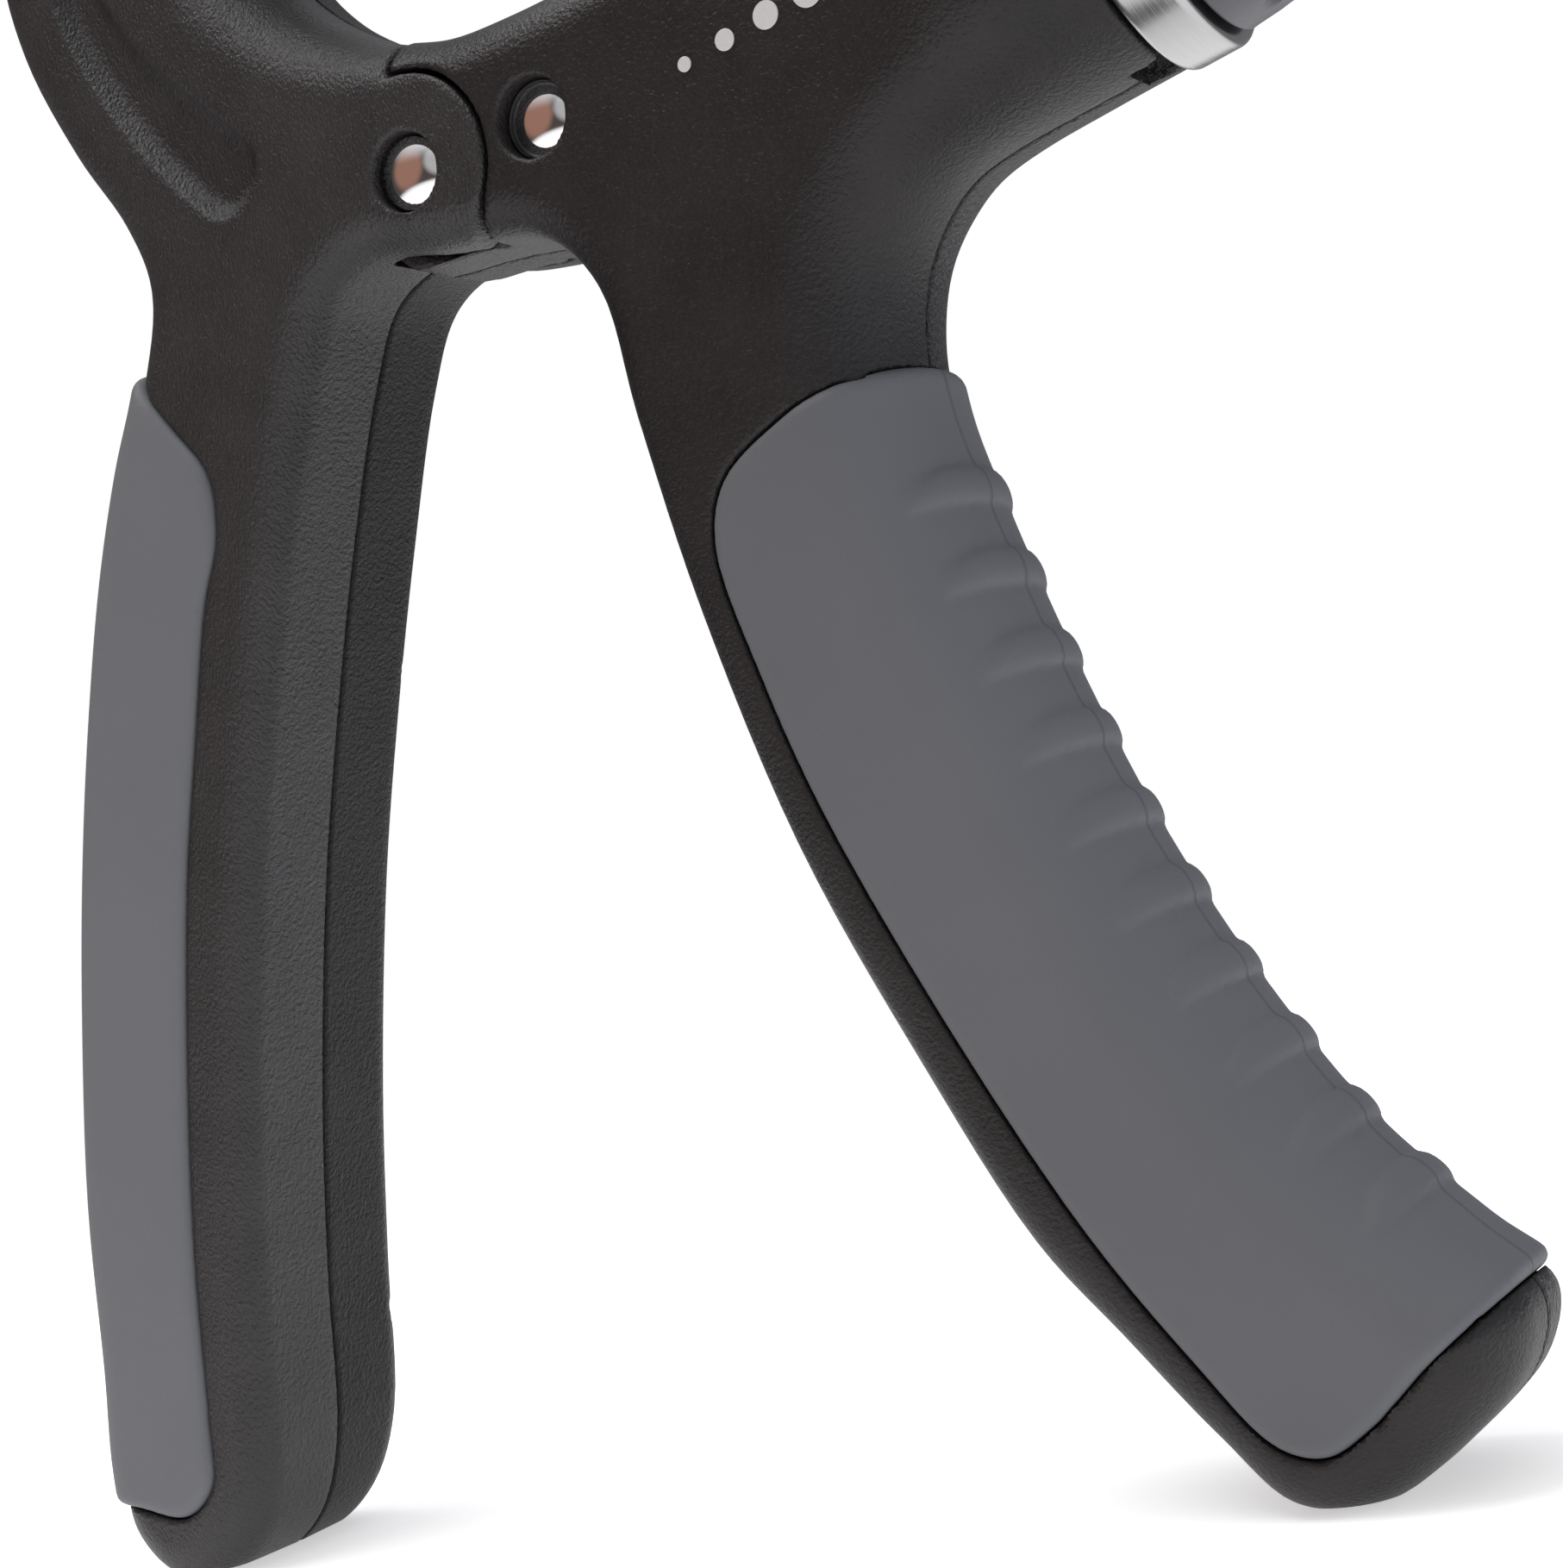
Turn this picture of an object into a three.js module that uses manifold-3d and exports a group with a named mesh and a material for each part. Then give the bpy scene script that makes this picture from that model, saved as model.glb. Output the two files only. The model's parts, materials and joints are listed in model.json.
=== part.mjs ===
// Adjustable hand grip strengthener: two curved handles on one pivot, an extension spring between the
// arms above it, and a screw with a knob that moves the spring's end along the right-hand arm.
// Millimetres, +Z up, X to the right, Y to the back. The origin is on the floor under the middle of the box.
import * as THREE from 'three';
import { mergeVertices } from 'three/addons/utils/BufferGeometryUtils.js';
import Module from 'manifold-3d';

// ---------------------------------------------------------------- driving dimensions
const HALF_DEPTH = 11;            // body, front face to the parting plane
const EDGE = 3.5;                 // rounding of the body's long edges
const SPLIT_GAP = 0.15;           // each shell's distance from the parting plane
const GAP = 0.3;                  // clearance between neighbouring pieces
const PIVOT_X = -11.42;           // pivot, from the middle of the box
const PIVOT_Z = 114.3;            // pivot, above the floor
const EAR_R = 8;                  // round ear of the lever about the pivot
const EAR_SEAM = 0.4;             // visible gap round the ear
const EAR_INNER_Y = 5.4;          // inner face of each ear
const TONGUE_Y = 4.4;             // half thickness of the frame's tongue between the ears
const HUB_CUT_X = -0.4;           // lever material outside the ear's circle ends here
const FRAME_CUT_X = -0.1;         // frame material outside the circle starts here
const RIVET_HEAD_R = 3.0;
const RIVET_HEAD_HEIGHT = 1.2;
const RIVET_SHANK_R = 2.1;
const RECESS_R = 3.3;             // round recess that each rivet head sits in
const PIVOT_HEAD_DEPTH = 0.4;     // top of the head below the face
const FRAME_HEAD_DEPTH = 1.0;
const FRAME_RIVET = [13.1, 0.5];  // second rivet, from the pivot
const ARM_TILT = 10 * Math.PI / 180;
const ARM_START = [1.0, -6.0];    // point of the screw's axis nearest the pivot
const ARM_R = 14;                 // round end of the arm
const ARM_END = 59.7;             // along the screw's axis
const SLOT_HALF_Y = 5.2;
const SLOT = { start: 24, end: 54, floor: -7 };
const SCREW_R = 3;
const NUT = { middle: 38, length: 10, halfHeight: 6, halfY: 4.7, pinHeight: 9.5 };
const RING = { start: 60.0, end: 64.5, radius: 14.5, bore: 8.5, edge: 0.5 };
const SPIGOT_R = 8.2;             // part of the arm that the ring sits on
const KNOB = { start: 65.0, end: 82, radius: 13.7, flutes: 18, fluteDepth: 1.1, hubR: 9 };
const ANCHOR = [-14, 46];         // pin that holds the spring on the lever
const ANCHOR_PIN_R = 2;
const SPRING = { coilR: 4.2, wireR: 1.1, turns: 11, eyeR: 4.2, lead: 5 };
const GRIP_PROUD = 1.0;           // rubber above the plastic
const CORE_Y = 8.6;               // half depth of the plastic under the rubber
const CORE_INSET = 2;             // and its distance inside the body's outline
const GROOVE_DEPTH = 1.6;         // decorative groove on the lever's arch
const SHELL_SCREW = { headY: 8.2, headR: 2.2, shankR: 1.2, tipY: -7 };

// ---------------------------------------------------------------- outlines, (x, z) from the pivot
const LEVER_OUTLINE = [
  [0, -6.6], [-6, -5.5], [-10.8, -7.6], [-14.5, -13.5], [-20, -26], [-25.3, -40.2], [-30.4, -55.6],
  [-35.4, -75], [-38.4, -90.3], [-40.8, -105], [-44.2, -111.6], [-49.5, -115], [-55.5, -114.8],
  [-59.3, -110.5], [-59.6, -104.5], [-58.4, -95], [-56.8, -80], [-52.9, -61], [-49.5, -47.8], [-45.8, -35.9],
  [-42, -25],
  [-38.2, -16], [-34.2, -8.5], [-31.7, -1.5], [-33.1, 4.4], [-37.3, 12.2], [-41.3, 22.5], [-42.2, 32],
  [-39, 42.5], [-31.5, 50], [-22, 54], [-13, 54.5], [-6.8, 50.5], [-6, 44.5], [-9.6, 39.6], [-15.5, 37],
  [-18, 32], [-16.6, 26], [-12, 19.5], [-6, 14.8], [0, 11.8], [7, 9.8], [12.5, 5], [13.5, -3], [11, -8.4],
  [5.5, -7.4],
];
const FRAME_OUTLINE = [
  [4.5, 10.9], [10.5, 10.8], [18.5, 11.6], [30, 13.5], [44, 15.9], [57.4, 18.2], [66, 19.7], [72, 13.5],
  [73.8, 3.5], [74.5, -3.5], [70.5, -8], [62.2, -9.4], [56, -10.5], [50, -11.6], [44.5, -13.6],
  [40.6, -17.6], [38.6, -23], [38.4, -29], [40, -37.5], [43.5, -51.5], [47.8, -64.8], [53.4, -77.5],
  [60, -88.8], [67, -97], [71.4, -102], [70.2, -106.6], [65.2, -111.2],
  [59, -114.8], [53, -114.2], [48.3, -108.8], [42.4, -100.9], [36.8, -93.3], [30, -78.5], [23.2, -60.8],
  [18.5, -41], [16.1, -25], [14.6, -14], [10.5, -8.7], [4, -7.1], [-4, -6.6], [-11, -5], [-15.5, 1],
  [-14.5, 9.5], [-8.5, 13.9], [-2, 12.6],
];
const LEVER_GRIP_REGION = [
  [-29, -14.5], [-26.3, -19], [-26.6, -24.5], [-29.3, -30.1], [-33.5, -42.5], [-37, -53.4], [-41.5, -72.5],
  [-44.2, -87.4], [-45.8, -100.8], [-46.7, -106.2], [-50.5, -108.9], [-57, -107.6], [-72, -106], [-72, -60],
  [-60, -20], [-44, -2], [-36, -5.6],
];
const FRAME_GRIP_REGION = [
  [22.2, -36.5], [24.1, -31.8], [30, -28.4], [38, -26], [52, -24], [72, -60], [84, -92], [74.5, -98.2],
  [66, -104], [60.5, -108.5], [57, -110.2], [53.5, -109.2], [48.5, -102.8], [40.8, -90.4], [28, -61.2],
  [24, -47.4],
];
const LEVER_SCREWS = [[-27.6, -36], [-42.4, -95], [-30, 41]];
const FRAME_SCREWS = [[27, -19], [36.4, -86], [36, -12]];

// ---------------------------------------------------------------- materials
const plastic = new THREE.MeshStandardMaterial({ color: 0x2b2828, roughness: 0.55, metalness: 0 });
const rubber = new THREE.MeshStandardMaterial({ color: 0x66686c, roughness: 0.75, metalness: 0 });
const chrome = new THREE.MeshStandardMaterial({ color: 0xd8d8d8, roughness: 0.15, metalness: 1 });
const steel = new THREE.MeshStandardMaterial({ color: 0xa8a8aa, roughness: 0.35, metalness: 1 });
const brass = new THREE.MeshStandardMaterial({ color: 0xb8964f, roughness: 0.35, metalness: 1 });
const darkSteel = new THREE.MeshStandardMaterial({ color: 0x444548, roughness: 0.4, metalness: 0.8 });
const knobPlastic = new THREE.MeshStandardMaterial({ color: 0x6d6f78, roughness: 0.5, metalness: 0 });
const nylon = new THREE.MeshStandardMaterial({ color: 0xd9d6cc, roughness: 0.5, metalness: 0 });
const printed = new THREE.MeshStandardMaterial({ color: 0xc9cacc, roughness: 0.5, metalness: 0 });

// ---------------------------------------------------------------- solids
const wasm = await Module();
wasm.setup();

function solid(geometry) {
  const bare = geometry.clone();
  bare.deleteAttribute('normal');
  bare.deleteAttribute('uv');
  const merged = mergeVertices(bare, 1e-4);
  const mesh = new wasm.Mesh({
    numProp: 3,
    vertProperties: new Float32Array(merged.attributes.position.array),
    triVerts: new Uint32Array(merged.index.array),
  });
  return new wasm.Manifold(mesh);
}

function geometryOf(manifold) {
  const mesh = manifold.getMesh();
  const geometry = new THREE.BufferGeometry();
  geometry.setAttribute('position', new THREE.BufferAttribute(new Float32Array(mesh.vertProperties), 3));
  geometry.setIndex(new THREE.BufferAttribute(new Uint32Array(mesh.triVerts), 1));
  geometry.computeVertexNormals();
  return geometry;
}

// a smooth closed outline through the points
function smoothShape(points) {
  const corners = points.map(([x, z]) => new THREE.Vector3(x, z, 0));
  const loop = new THREE.CatmullRomCurve3(corners, true, 'centripetal');
  const steps = points.length * 2;
  return new THREE.Shape(loop.getPoints(steps).slice(0, steps).map((p) => new THREE.Vector2(p.x, p.y)));
}

function polygon(points) {
  return new THREE.Shape(points.map(([x, z]) => new THREE.Vector2(x, z)));
}

function discShape(x, z, radius) {
  return new THREE.Shape().absarc(x, z, radius, 0, 2 * Math.PI);
}

// an outline in X and Z, given thickness from y0 to y1
function plate(shape, y0, y1, edge = 0, curveSegments = 12) {
  const geometry = new THREE.ExtrudeGeometry(shape, {
    depth: y1 - y0 - 2 * edge,
    curveSegments,
    bevelEnabled: edge > 0,
    bevelThickness: edge,
    bevelSize: edge,
    bevelOffset: -edge,
    bevelSegments: 2,
  });
  geometry.rotateX(Math.PI / 2);
  geometry.translate(0, y1 - edge, 0);
  return solid(geometry);
}

// a round piece about a line along Y
function turned(profile, x, z, segments = 20) {
  const geometry = new THREE.LatheGeometry(profile.map(([r, y]) => new THREE.Vector2(r, y)), segments);
  geometry.translate(x, 0, z);
  return solid(geometry);
}

function box(x0, x1, y0, y1, z0, z1) {
  const geometry = new THREE.BoxGeometry(x1 - x0, y1 - y0, z1 - z0);
  geometry.translate((x0 + x1) / 2, (y0 + y1) / 2, (z0 + z1) / 2);
  return solid(geometry);
}

// a cylinder along Y
function rod(x, z, radius, y0, y1, segments = 20) {
  return turned([[0, y0], [radius, y0], [radius, y1], [0, y1]], x, z, segments);
}

// ---------------------------------------------------------------- pieces along the screw's axis
const armMatrix = new THREE.Matrix4().makeRotationY(-ARM_TILT).setPosition(ARM_START[0], 0, ARM_START[1]);

// a round piece about the screw's axis; the profile is [radius, distance along the axis]
function turnedOnArm(profile, segments = 24) {
  const geometry = new THREE.LatheGeometry(profile.map(([r, s]) => new THREE.Vector2(r, s)), segments);
  geometry.rotateZ(-Math.PI / 2);
  geometry.applyMatrix4(armMatrix);
  return solid(geometry);
}

function boxOnArm(s0, s1, y0, y1, t0, t1) {
  const geometry = new THREE.BoxGeometry(s1 - s0, y1 - y0, t1 - t0);
  geometry.translate((s0 + s1) / 2, (y0 + y1) / 2, (t0 + t1) / 2);
  geometry.applyMatrix4(armMatrix);
  return solid(geometry);
}

function armPoint(s, t) {
  const p = new THREE.Vector3(s, 0, t).applyMatrix4(armMatrix);
  return [p.x, p.z];
}

function tube(rIn, rOut, from, to) {
  return [[rIn, from], [rOut, from], [rOut, to], [rIn, to], [rIn, from]];
}

// ---------------------------------------------------------------- rivets
function rivetProfile(headDepth) {
  const top = -HALF_DEPTH + headDepth;
  return [
    [0, top], [RIVET_HEAD_R * 0.5, top + RIVET_HEAD_HEIGHT * 0.13],
    [RIVET_HEAD_R * 0.87, top + RIVET_HEAD_HEIGHT * 0.5], [RIVET_HEAD_R, top + RIVET_HEAD_HEIGHT],
    [RIVET_SHANK_R, top + RIVET_HEAD_HEIGHT], [RIVET_SHANK_R, -top - RIVET_HEAD_HEIGHT - GAP],
    [0, -top - RIVET_HEAD_HEIGHT - GAP],
  ];
}

function rivetCapProfile(headDepth) {
  const top = HALF_DEPTH - headDepth;
  return [
    [0, top - RIVET_HEAD_HEIGHT], [RIVET_HEAD_R, top - RIVET_HEAD_HEIGHT],
    [RIVET_HEAD_R * 0.87, top - RIVET_HEAD_HEIGHT * 0.5],
    [RIVET_HEAD_R * 0.5, top - RIVET_HEAD_HEIGHT * 0.13],
    [0, top],
  ];
}

// what a rivet needs taken out of the shells: a through hole and a recess at each face
function rivetHole(x, z, headDepth) {
  const seat = HALF_DEPTH - headDepth - RIVET_HEAD_HEIGHT - GAP;
  const hole = rod(x, z, RIVET_SHANK_R + 0.25, -HALF_DEPTH - 1, HALF_DEPTH + 1);
  const front = rod(x, z, RECESS_R, -HALF_DEPTH - 1, -seat, 24);
  const rear = rod(x, z, RECESS_R, seat, HALF_DEPTH + 1, 24);
  return hole.add(front).add(rear);
}

// ---------------------------------------------------------------- shell screws, driven from the back
function screwProfile() {
  const { headY, headR, shankR, tipY } = SHELL_SCREW;
  return [
    [0, tipY], [shankR, tipY], [shankR, headY - 1.8],
    [headR, headY - 1.2], [headR, headY], [0, headY],
  ];
}

function screwHoles(places) {
  const holes = places.map(([x, z]) => {
    const shank = rod(x, z, SHELL_SCREW.shankR + GAP, SHELL_SCREW.tipY - 0.4, HALF_DEPTH, 12);
    return shank.add(rod(x, z, SHELL_SCREW.headR + GAP, SHELL_SCREW.headY - 1.8 - GAP, HALF_DEPTH + 1, 14));
  });
  return holes.reduce((all, one) => all.add(one));
}

// ---------------------------------------------------------------- the handles' hollow inside and the rubber
function handleHollow(points, halfWidth) {
  const line = new THREE.CatmullRomCurve3(points.map(([x, z]) => new THREE.Vector3(x, z, 0)));
  const stations = [0, 0.25, 0.5, 0.75, 1];
  const left = stations.map((u) => {
    const p = line.getPointAt(u);
    const t = line.getTangentAt(u);
    return [p.x - t.y * halfWidth, p.y + t.x * halfWidth];
  });
  const right = stations.map((u) => {
    const p = line.getPointAt(u);
    const t = line.getTangentAt(u);
    return [p.x + t.y * halfWidth, p.y - t.x * halfWidth];
  });
  return plate(polygon([...left, ...right.reverse()]), -6, 6);
}

// the outline moved square to itself
function offsetShape(points, distance) {
  const loop = smoothShape(points).getPoints();
  const moved = loop.map((p, i) => {
    const before = loop[(i + loop.length - 1) % loop.length];
    const after = loop[(i + 1) % loop.length];
    const along = new THREE.Vector2().subVectors(after, before).normalize();
    return new THREE.Vector2(p.x + along.y * distance, p.y - along.x * distance);
  });
  return new THREE.Shape(moved);
}

// ---------------------------------------------------------------- lever
const hubTrim = box(HUB_CUT_X, 30, -20, 20, -16, 30).subtract(rod(0, 0, EAR_R, -30, 30, 40));
const isCounterClockwise = (points) => THREE.ShapeUtils.area(smoothShape(points).getPoints()) > 0;

function outwards(points, distance) {
  return offsetShape(points, isCounterClockwise(points) ? distance : -distance);
}

const leverSolid = plate(smoothShape(LEVER_OUTLINE), -HALF_DEPTH, HALF_DEPTH, EDGE);
const leverGripRegion = plate(smoothShape(LEVER_GRIP_REGION), -30, 30);
const leverRubberRegion = plate(outwards(LEVER_GRIP_REGION, -GAP), -30, 30);
const leverCore = plate(outwards(LEVER_OUTLINE, -CORE_INSET), -CORE_Y, CORE_Y);
const tongueRoom = rod(0, 0, EAR_R + 0.5, -EAR_INNER_Y, EAR_INNER_Y, 32)
  .add(box(HUB_CUT_X, 30, -EAR_INNER_Y, EAR_INNER_Y, -16, 30));
const anchorSlot = rod(ANCHOR[0], ANCHOR[1], 6, -SLOT_HALF_Y, SLOT_HALF_Y, 28)
  .add(plate(polygon([[-18, 50.4], [2, 50.4], [2, 30], [-18.5, 42]]), -SLOT_HALF_Y, SLOT_HALF_Y));
const leverGroove = plate(smoothShape([
  [-15.6, 3.4], [-14.8, 6.4], [-20.6, 13.3], [-26.2, 20.1], [-29.4, 28], [-29.2, 35], [-32.6, 35],
  [-34.2, 27], [-31.2, 17.2], [-24.6, 6.4], [-19.5, 1.6],
]), -HALF_DEPTH - 1, -HALF_DEPTH + GROOVE_DEPTH);
const leverGrooveRear = leverGroove.mirror([0, 1, 0]);
const leverHollow = handleHollow([[-31, -30], [-40.5, -58], [-47, -86], [-49.5, -104]], 4.4);

const floor = box(-200, 200, -40, 40, -PIVOT_Z - 10, -PIVOT_Z);
const leverBody = leverSolid
  .subtract(floor)
  .subtract(hubTrim)
  .subtract(tongueRoom)
  .subtract(leverGripRegion.subtract(leverCore))
  .subtract(anchorSlot)
  .subtract(leverGroove)
  .subtract(leverGrooveRear)
  .subtract(leverHollow)
  .subtract(rivetHole(0, 0, PIVOT_HEAD_DEPTH))
  .subtract(rod(ANCHOR[0], ANCHOR[1], ANCHOR_PIN_R + 0.25, -9, 9))
  .subtract(screwHoles(LEVER_SCREWS));

// ---------------------------------------------------------------- frame
const leverRoom = rod(0, 0, EAR_R + EAR_SEAM, -30, 30, 40).add(box(-30, FRAME_CUT_X, -30, 30, -30, 30));
const tongueZone = box(-30, 12, -TONGUE_Y, TONGUE_Y, -20, 20);
const frameSolid = plate(smoothShape(FRAME_OUTLINE), -HALF_DEPTH, HALF_DEPTH, EDGE);
const tongue = rod(0, 0, EAR_R, -TONGUE_Y, TONGUE_Y, 32).intersect(leverSolid.add(frameSolid));
const frameGripRegion = plate(smoothShape(FRAME_GRIP_REGION), -30, 30);
const frameRubberRegion = plate(outwards(FRAME_GRIP_REGION, -GAP), -30, 30);
const frameCore = plate(outwards(FRAME_OUTLINE, -CORE_INSET), -CORE_Y, CORE_Y);
const armEnd = turnedOnArm([
  [0, 50], [8, 50], [12.5, 53.5], [ARM_R, 57], [ARM_R, ARM_END], [SPIGOT_R, ARM_END],
  [SPIGOT_R, RING.end - 1.5], [0, RING.end - 1.5],
], 32);
const armSlot = plate(polygon([
  armPoint(SLOT.start, SLOT.floor), armPoint(SLOT.end, SLOT.floor), armPoint(SLOT.end, 20),
  armPoint(13, 20), armPoint(13.5, 14), armPoint(SLOT.start - 2, 7),
]), -SLOT_HALF_Y, SLOT_HALF_Y);
const screwBore = turnedOnArm([[0, 19.7], [5.3, 19.7], [5.3, 24.5], [0, 24.5]], 20)
  .add(turnedOnArm([[0, 53.5], [5.3, 53.5], [5.3, RING.end], [0, RING.end]], 20));
const frameHollow = handleHollow([[27, -36], [34, -62], [44.5, -84], [56, -101]], 4.2);

const frameBody = frameSolid
  .subtract(floor)
  .subtract(boxOnArm(ARM_END, 90, -30, 30, -30, 30))
  .subtract(leverRoom)
  .add(frameSolid.intersect(tongueZone).subtract(box(-30, FRAME_CUT_X, -30, 30, -30, 30)))
  .add(tongue)
  .add(armEnd)
  .subtract(frameGripRegion.subtract(frameCore))
  .subtract(armSlot)
  .subtract(screwBore)
  .subtract(frameHollow)
  .subtract(rod(0, 0, 3.6, -TONGUE_Y - 1, TONGUE_Y + 1, 24))
  .subtract(rivetHole(FRAME_RIVET[0], FRAME_RIVET[1], FRAME_HEAD_DEPTH))
  .subtract(screwHoles(FRAME_SCREWS));

function frontHalf(body) {
  return body.intersect(box(-200, 200, -40, -SPLIT_GAP, -200, 200));
}

function rearHalf(body) {
  return body.intersect(box(-200, 200, SPLIT_GAP, 40, -200, 200));
}

// ---------------------------------------------------------------- rubber grips
function rubberGrip(outline, region) {
  const skin = plate(outwards(outline, GRIP_PROUD), -HALF_DEPTH - 0.5, HALF_DEPTH + 0.5, EDGE);
  const inside = plate(outwards(outline, GAP - CORE_INSET), -CORE_Y - GAP, CORE_Y + GAP);
  return skin.intersect(region).subtract(inside);
}

// ---------------------------------------------------------------- spring
function hook(points, radius) {
  const path = new THREE.CatmullRomCurve3(points.map((p) => new THREE.Vector3(...p)));
  const round = new THREE.Shape().absarc(0, 0, radius, 0, 2 * Math.PI);
  return new THREE.ExtrudeGeometry(round, {
    steps: points.length, extrudePath: path, curveSegments: 3, bevelEnabled: false,
  });
}

function springGeometry() {
  const pin = armPoint(NUT.middle, NUT.pinHeight);
  const start = new THREE.Vector3(ANCHOR[0], 0, ANCHOR[1]);
  const end = new THREE.Vector3(pin[0], 0, pin[1]);
  const along = new THREE.Vector3().subVectors(end, start);
  const length = along.length();
  along.normalize();
  const across = new THREE.Vector3(-along.z, 0, along.x);
  const side = new THREE.Vector3(0, 1, 0);
  const eye = SPRING.eyeR;
  const place = (s, r, angle) => start.clone().addScaledVector(along, s)
    .addScaledVector(across, r * Math.cos(angle)).addScaledVector(side, r * Math.sin(angle));
  const points = [];
  const add = (p) => points.push([p.x, p.y, p.z]);
  for (let i = 0; i <= 6; i += 1) {
    const a = Math.PI * (1.45 - 1.45 * i / 6);
    add(place(-eye * Math.sin(a - Math.PI / 2), eye * Math.cos(a - Math.PI / 2) * -1, 0));
  }
  const first = eye + SPRING.lead;
  const last = length - eye - SPRING.lead;
  const stepsPerTurn = 7;
  const steps = SPRING.turns * stepsPerTurn;
  for (let i = 0; i <= steps; i += 1) {
    const a = 2 * Math.PI * i / stepsPerTurn;
    add(place(first + (last - first) * i / steps, SPRING.coilR, a));
  }
  for (let i = 0; i <= 6; i += 1) {
    const a = Math.PI * (1.45 * i / 6);
    add(place(length + eye * Math.sin(a - Math.PI / 2), eye * Math.cos(a - Math.PI / 2), 0));
  }
  return hook(points, SPRING.wireR);
}

// ---------------------------------------------------------------- knob and screw
function knobSleeve() {
  const outline = new THREE.Shape();
  const corners = KNOB.flutes * 4;
  for (let i = 0; i < corners; i += 1) {
    const a = 2 * Math.PI * i / corners;
    const r = KNOB.radius - (i % 4 < 2 ? 0 : KNOB.fluteDepth);
    if (i === 0) outline.moveTo(r * Math.cos(a), r * Math.sin(a));
    else outline.lineTo(r * Math.cos(a), r * Math.sin(a));
  }
  outline.closePath();
  outline.holes.push(new THREE.Path().absarc(0, 0, KNOB.hubR + GAP, 0, 2 * Math.PI, true));
  const geometry = new THREE.ExtrudeGeometry(outline, {
    depth: KNOB.end - KNOB.start - 3, curveSegments: 16, bevelEnabled: false,
  });
  geometry.rotateY(Math.PI / 2);
  geometry.translate(KNOB.start, 0, 0);
  geometry.applyMatrix4(armMatrix);
  return solid(geometry);
}

const crossPinHole = boxOnArm(71.3, 73.7, -9.8, 9.8, -1.2, 1.2);
const screwSolid = turnedOnArm([[0, 20.3], [2.4, 20.3], [SCREW_R, 21], [SCREW_R, 78], [0, 78]], 16);
const hubSolid = turnedOnArm(tube(SCREW_R + GAP, KNOB.hubR, KNOB.start, KNOB.end - 3), 28);
const clipSolid = turnedOnArm(tube(SCREW_R + GAP, 4.9, 52.5, 53.3), 20)
  .subtract(boxOnArm(52, 54, -1.6, 1.6, 0, 9));

// ---------------------------------------------------------------- travelling nut
function nutSolid() {
  const from = NUT.middle - NUT.length / 2;
  const to = NUT.middle + NUT.length / 2;
  const block = boxOnArm(from, to, -NUT.halfY, NUT.halfY, -NUT.halfHeight, NUT.halfHeight);
  const ears = boxOnArm(from + 2, to - 2, -NUT.halfY, NUT.halfY, NUT.halfHeight - 1, NUT.pinHeight + 3);
  const between = boxOnArm(from - 1, to + 1, -2.2, 2.2, NUT.halfHeight - 2.2, NUT.pinHeight + 5);
  const pin = armPoint(NUT.middle, NUT.pinHeight);
  return block.add(ears).subtract(between)
    .subtract(turnedOnArm(
      [[0, from - 1], [SCREW_R + GAP, from - 1], [SCREW_R + GAP, to + 1], [0, to + 1]], 16))
    .subtract(rod(pin[0], pin[1], 1.9, -9, 9, 14));
}

// ---------------------------------------------------------------- assembly
const strengthener = new THREE.Group();
strengthener.position.set(PIVOT_X, 0, PIVOT_Z);

function addPiece(name, shape, material) {
  const geometry = shape instanceof THREE.BufferGeometry ? shape : geometryOf(shape);
  const mesh = new THREE.Mesh(geometry, material);
  mesh.name = name;
  strengthener.add(mesh);
}

addPiece('lever_front_shell', frontHalf(leverBody), plastic);
addPiece('lever_rear_shell', rearHalf(leverBody), plastic);
addPiece('lever_grip', rubberGrip(LEVER_OUTLINE, leverRubberRegion), rubber);
addPiece('frame_front_shell', frontHalf(frameBody), plastic);
addPiece('frame_rear_shell', rearHalf(frameBody), plastic);
addPiece('frame_grip', rubberGrip(FRAME_OUTLINE, frameRubberRegion), rubber);

addPiece('pivot_rivet', turned(rivetProfile(PIVOT_HEAD_DEPTH), 0, 0), chrome);
addPiece('pivot_rivet_cap', turned(rivetCapProfile(PIVOT_HEAD_DEPTH), 0, 0), chrome);
addPiece('pivot_bushing',
  turned(tube(RIVET_SHANK_R + GAP, 3.3, -TONGUE_Y + 0.1, TONGUE_Y - 0.1), 0, 0), nylon);
addPiece('pivot_washer_front', turned(tube(2.6, 6, -EAR_INNER_Y + 0.25, -TONGUE_Y - 0.25), 0, 0), nylon);
addPiece('pivot_washer_rear', turned(tube(2.6, 6, TONGUE_Y + 0.25, EAR_INNER_Y - 0.25), 0, 0), nylon);
addPiece('frame_rivet', turned(rivetProfile(FRAME_HEAD_DEPTH), FRAME_RIVET[0], FRAME_RIVET[1]), chrome);
addPiece('frame_rivet_cap',
  turned(rivetCapProfile(FRAME_HEAD_DEPTH), FRAME_RIVET[0], FRAME_RIVET[1]), chrome);

addPiece('spring_anchor_pin', rod(ANCHOR[0], ANCHOR[1], ANCHOR_PIN_R, -8.6, 8.6), steel);
addPiece('spring_anchor_bush',
  turned(tube(ANCHOR_PIN_R + 0.2, 2.8, -4.6, 4.6), ANCHOR[0], ANCHOR[1], 18), nylon);
addPiece('main_spring', solid(springGeometry()), chrome);
const hookPin = armPoint(NUT.middle, NUT.pinHeight);
addPiece('nut_hook_pin', rod(hookPin[0], hookPin[1], 1.6, -4.6, 4.6, 14), steel);
addPiece('travelling_nut', nutSolid(), brass);

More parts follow.
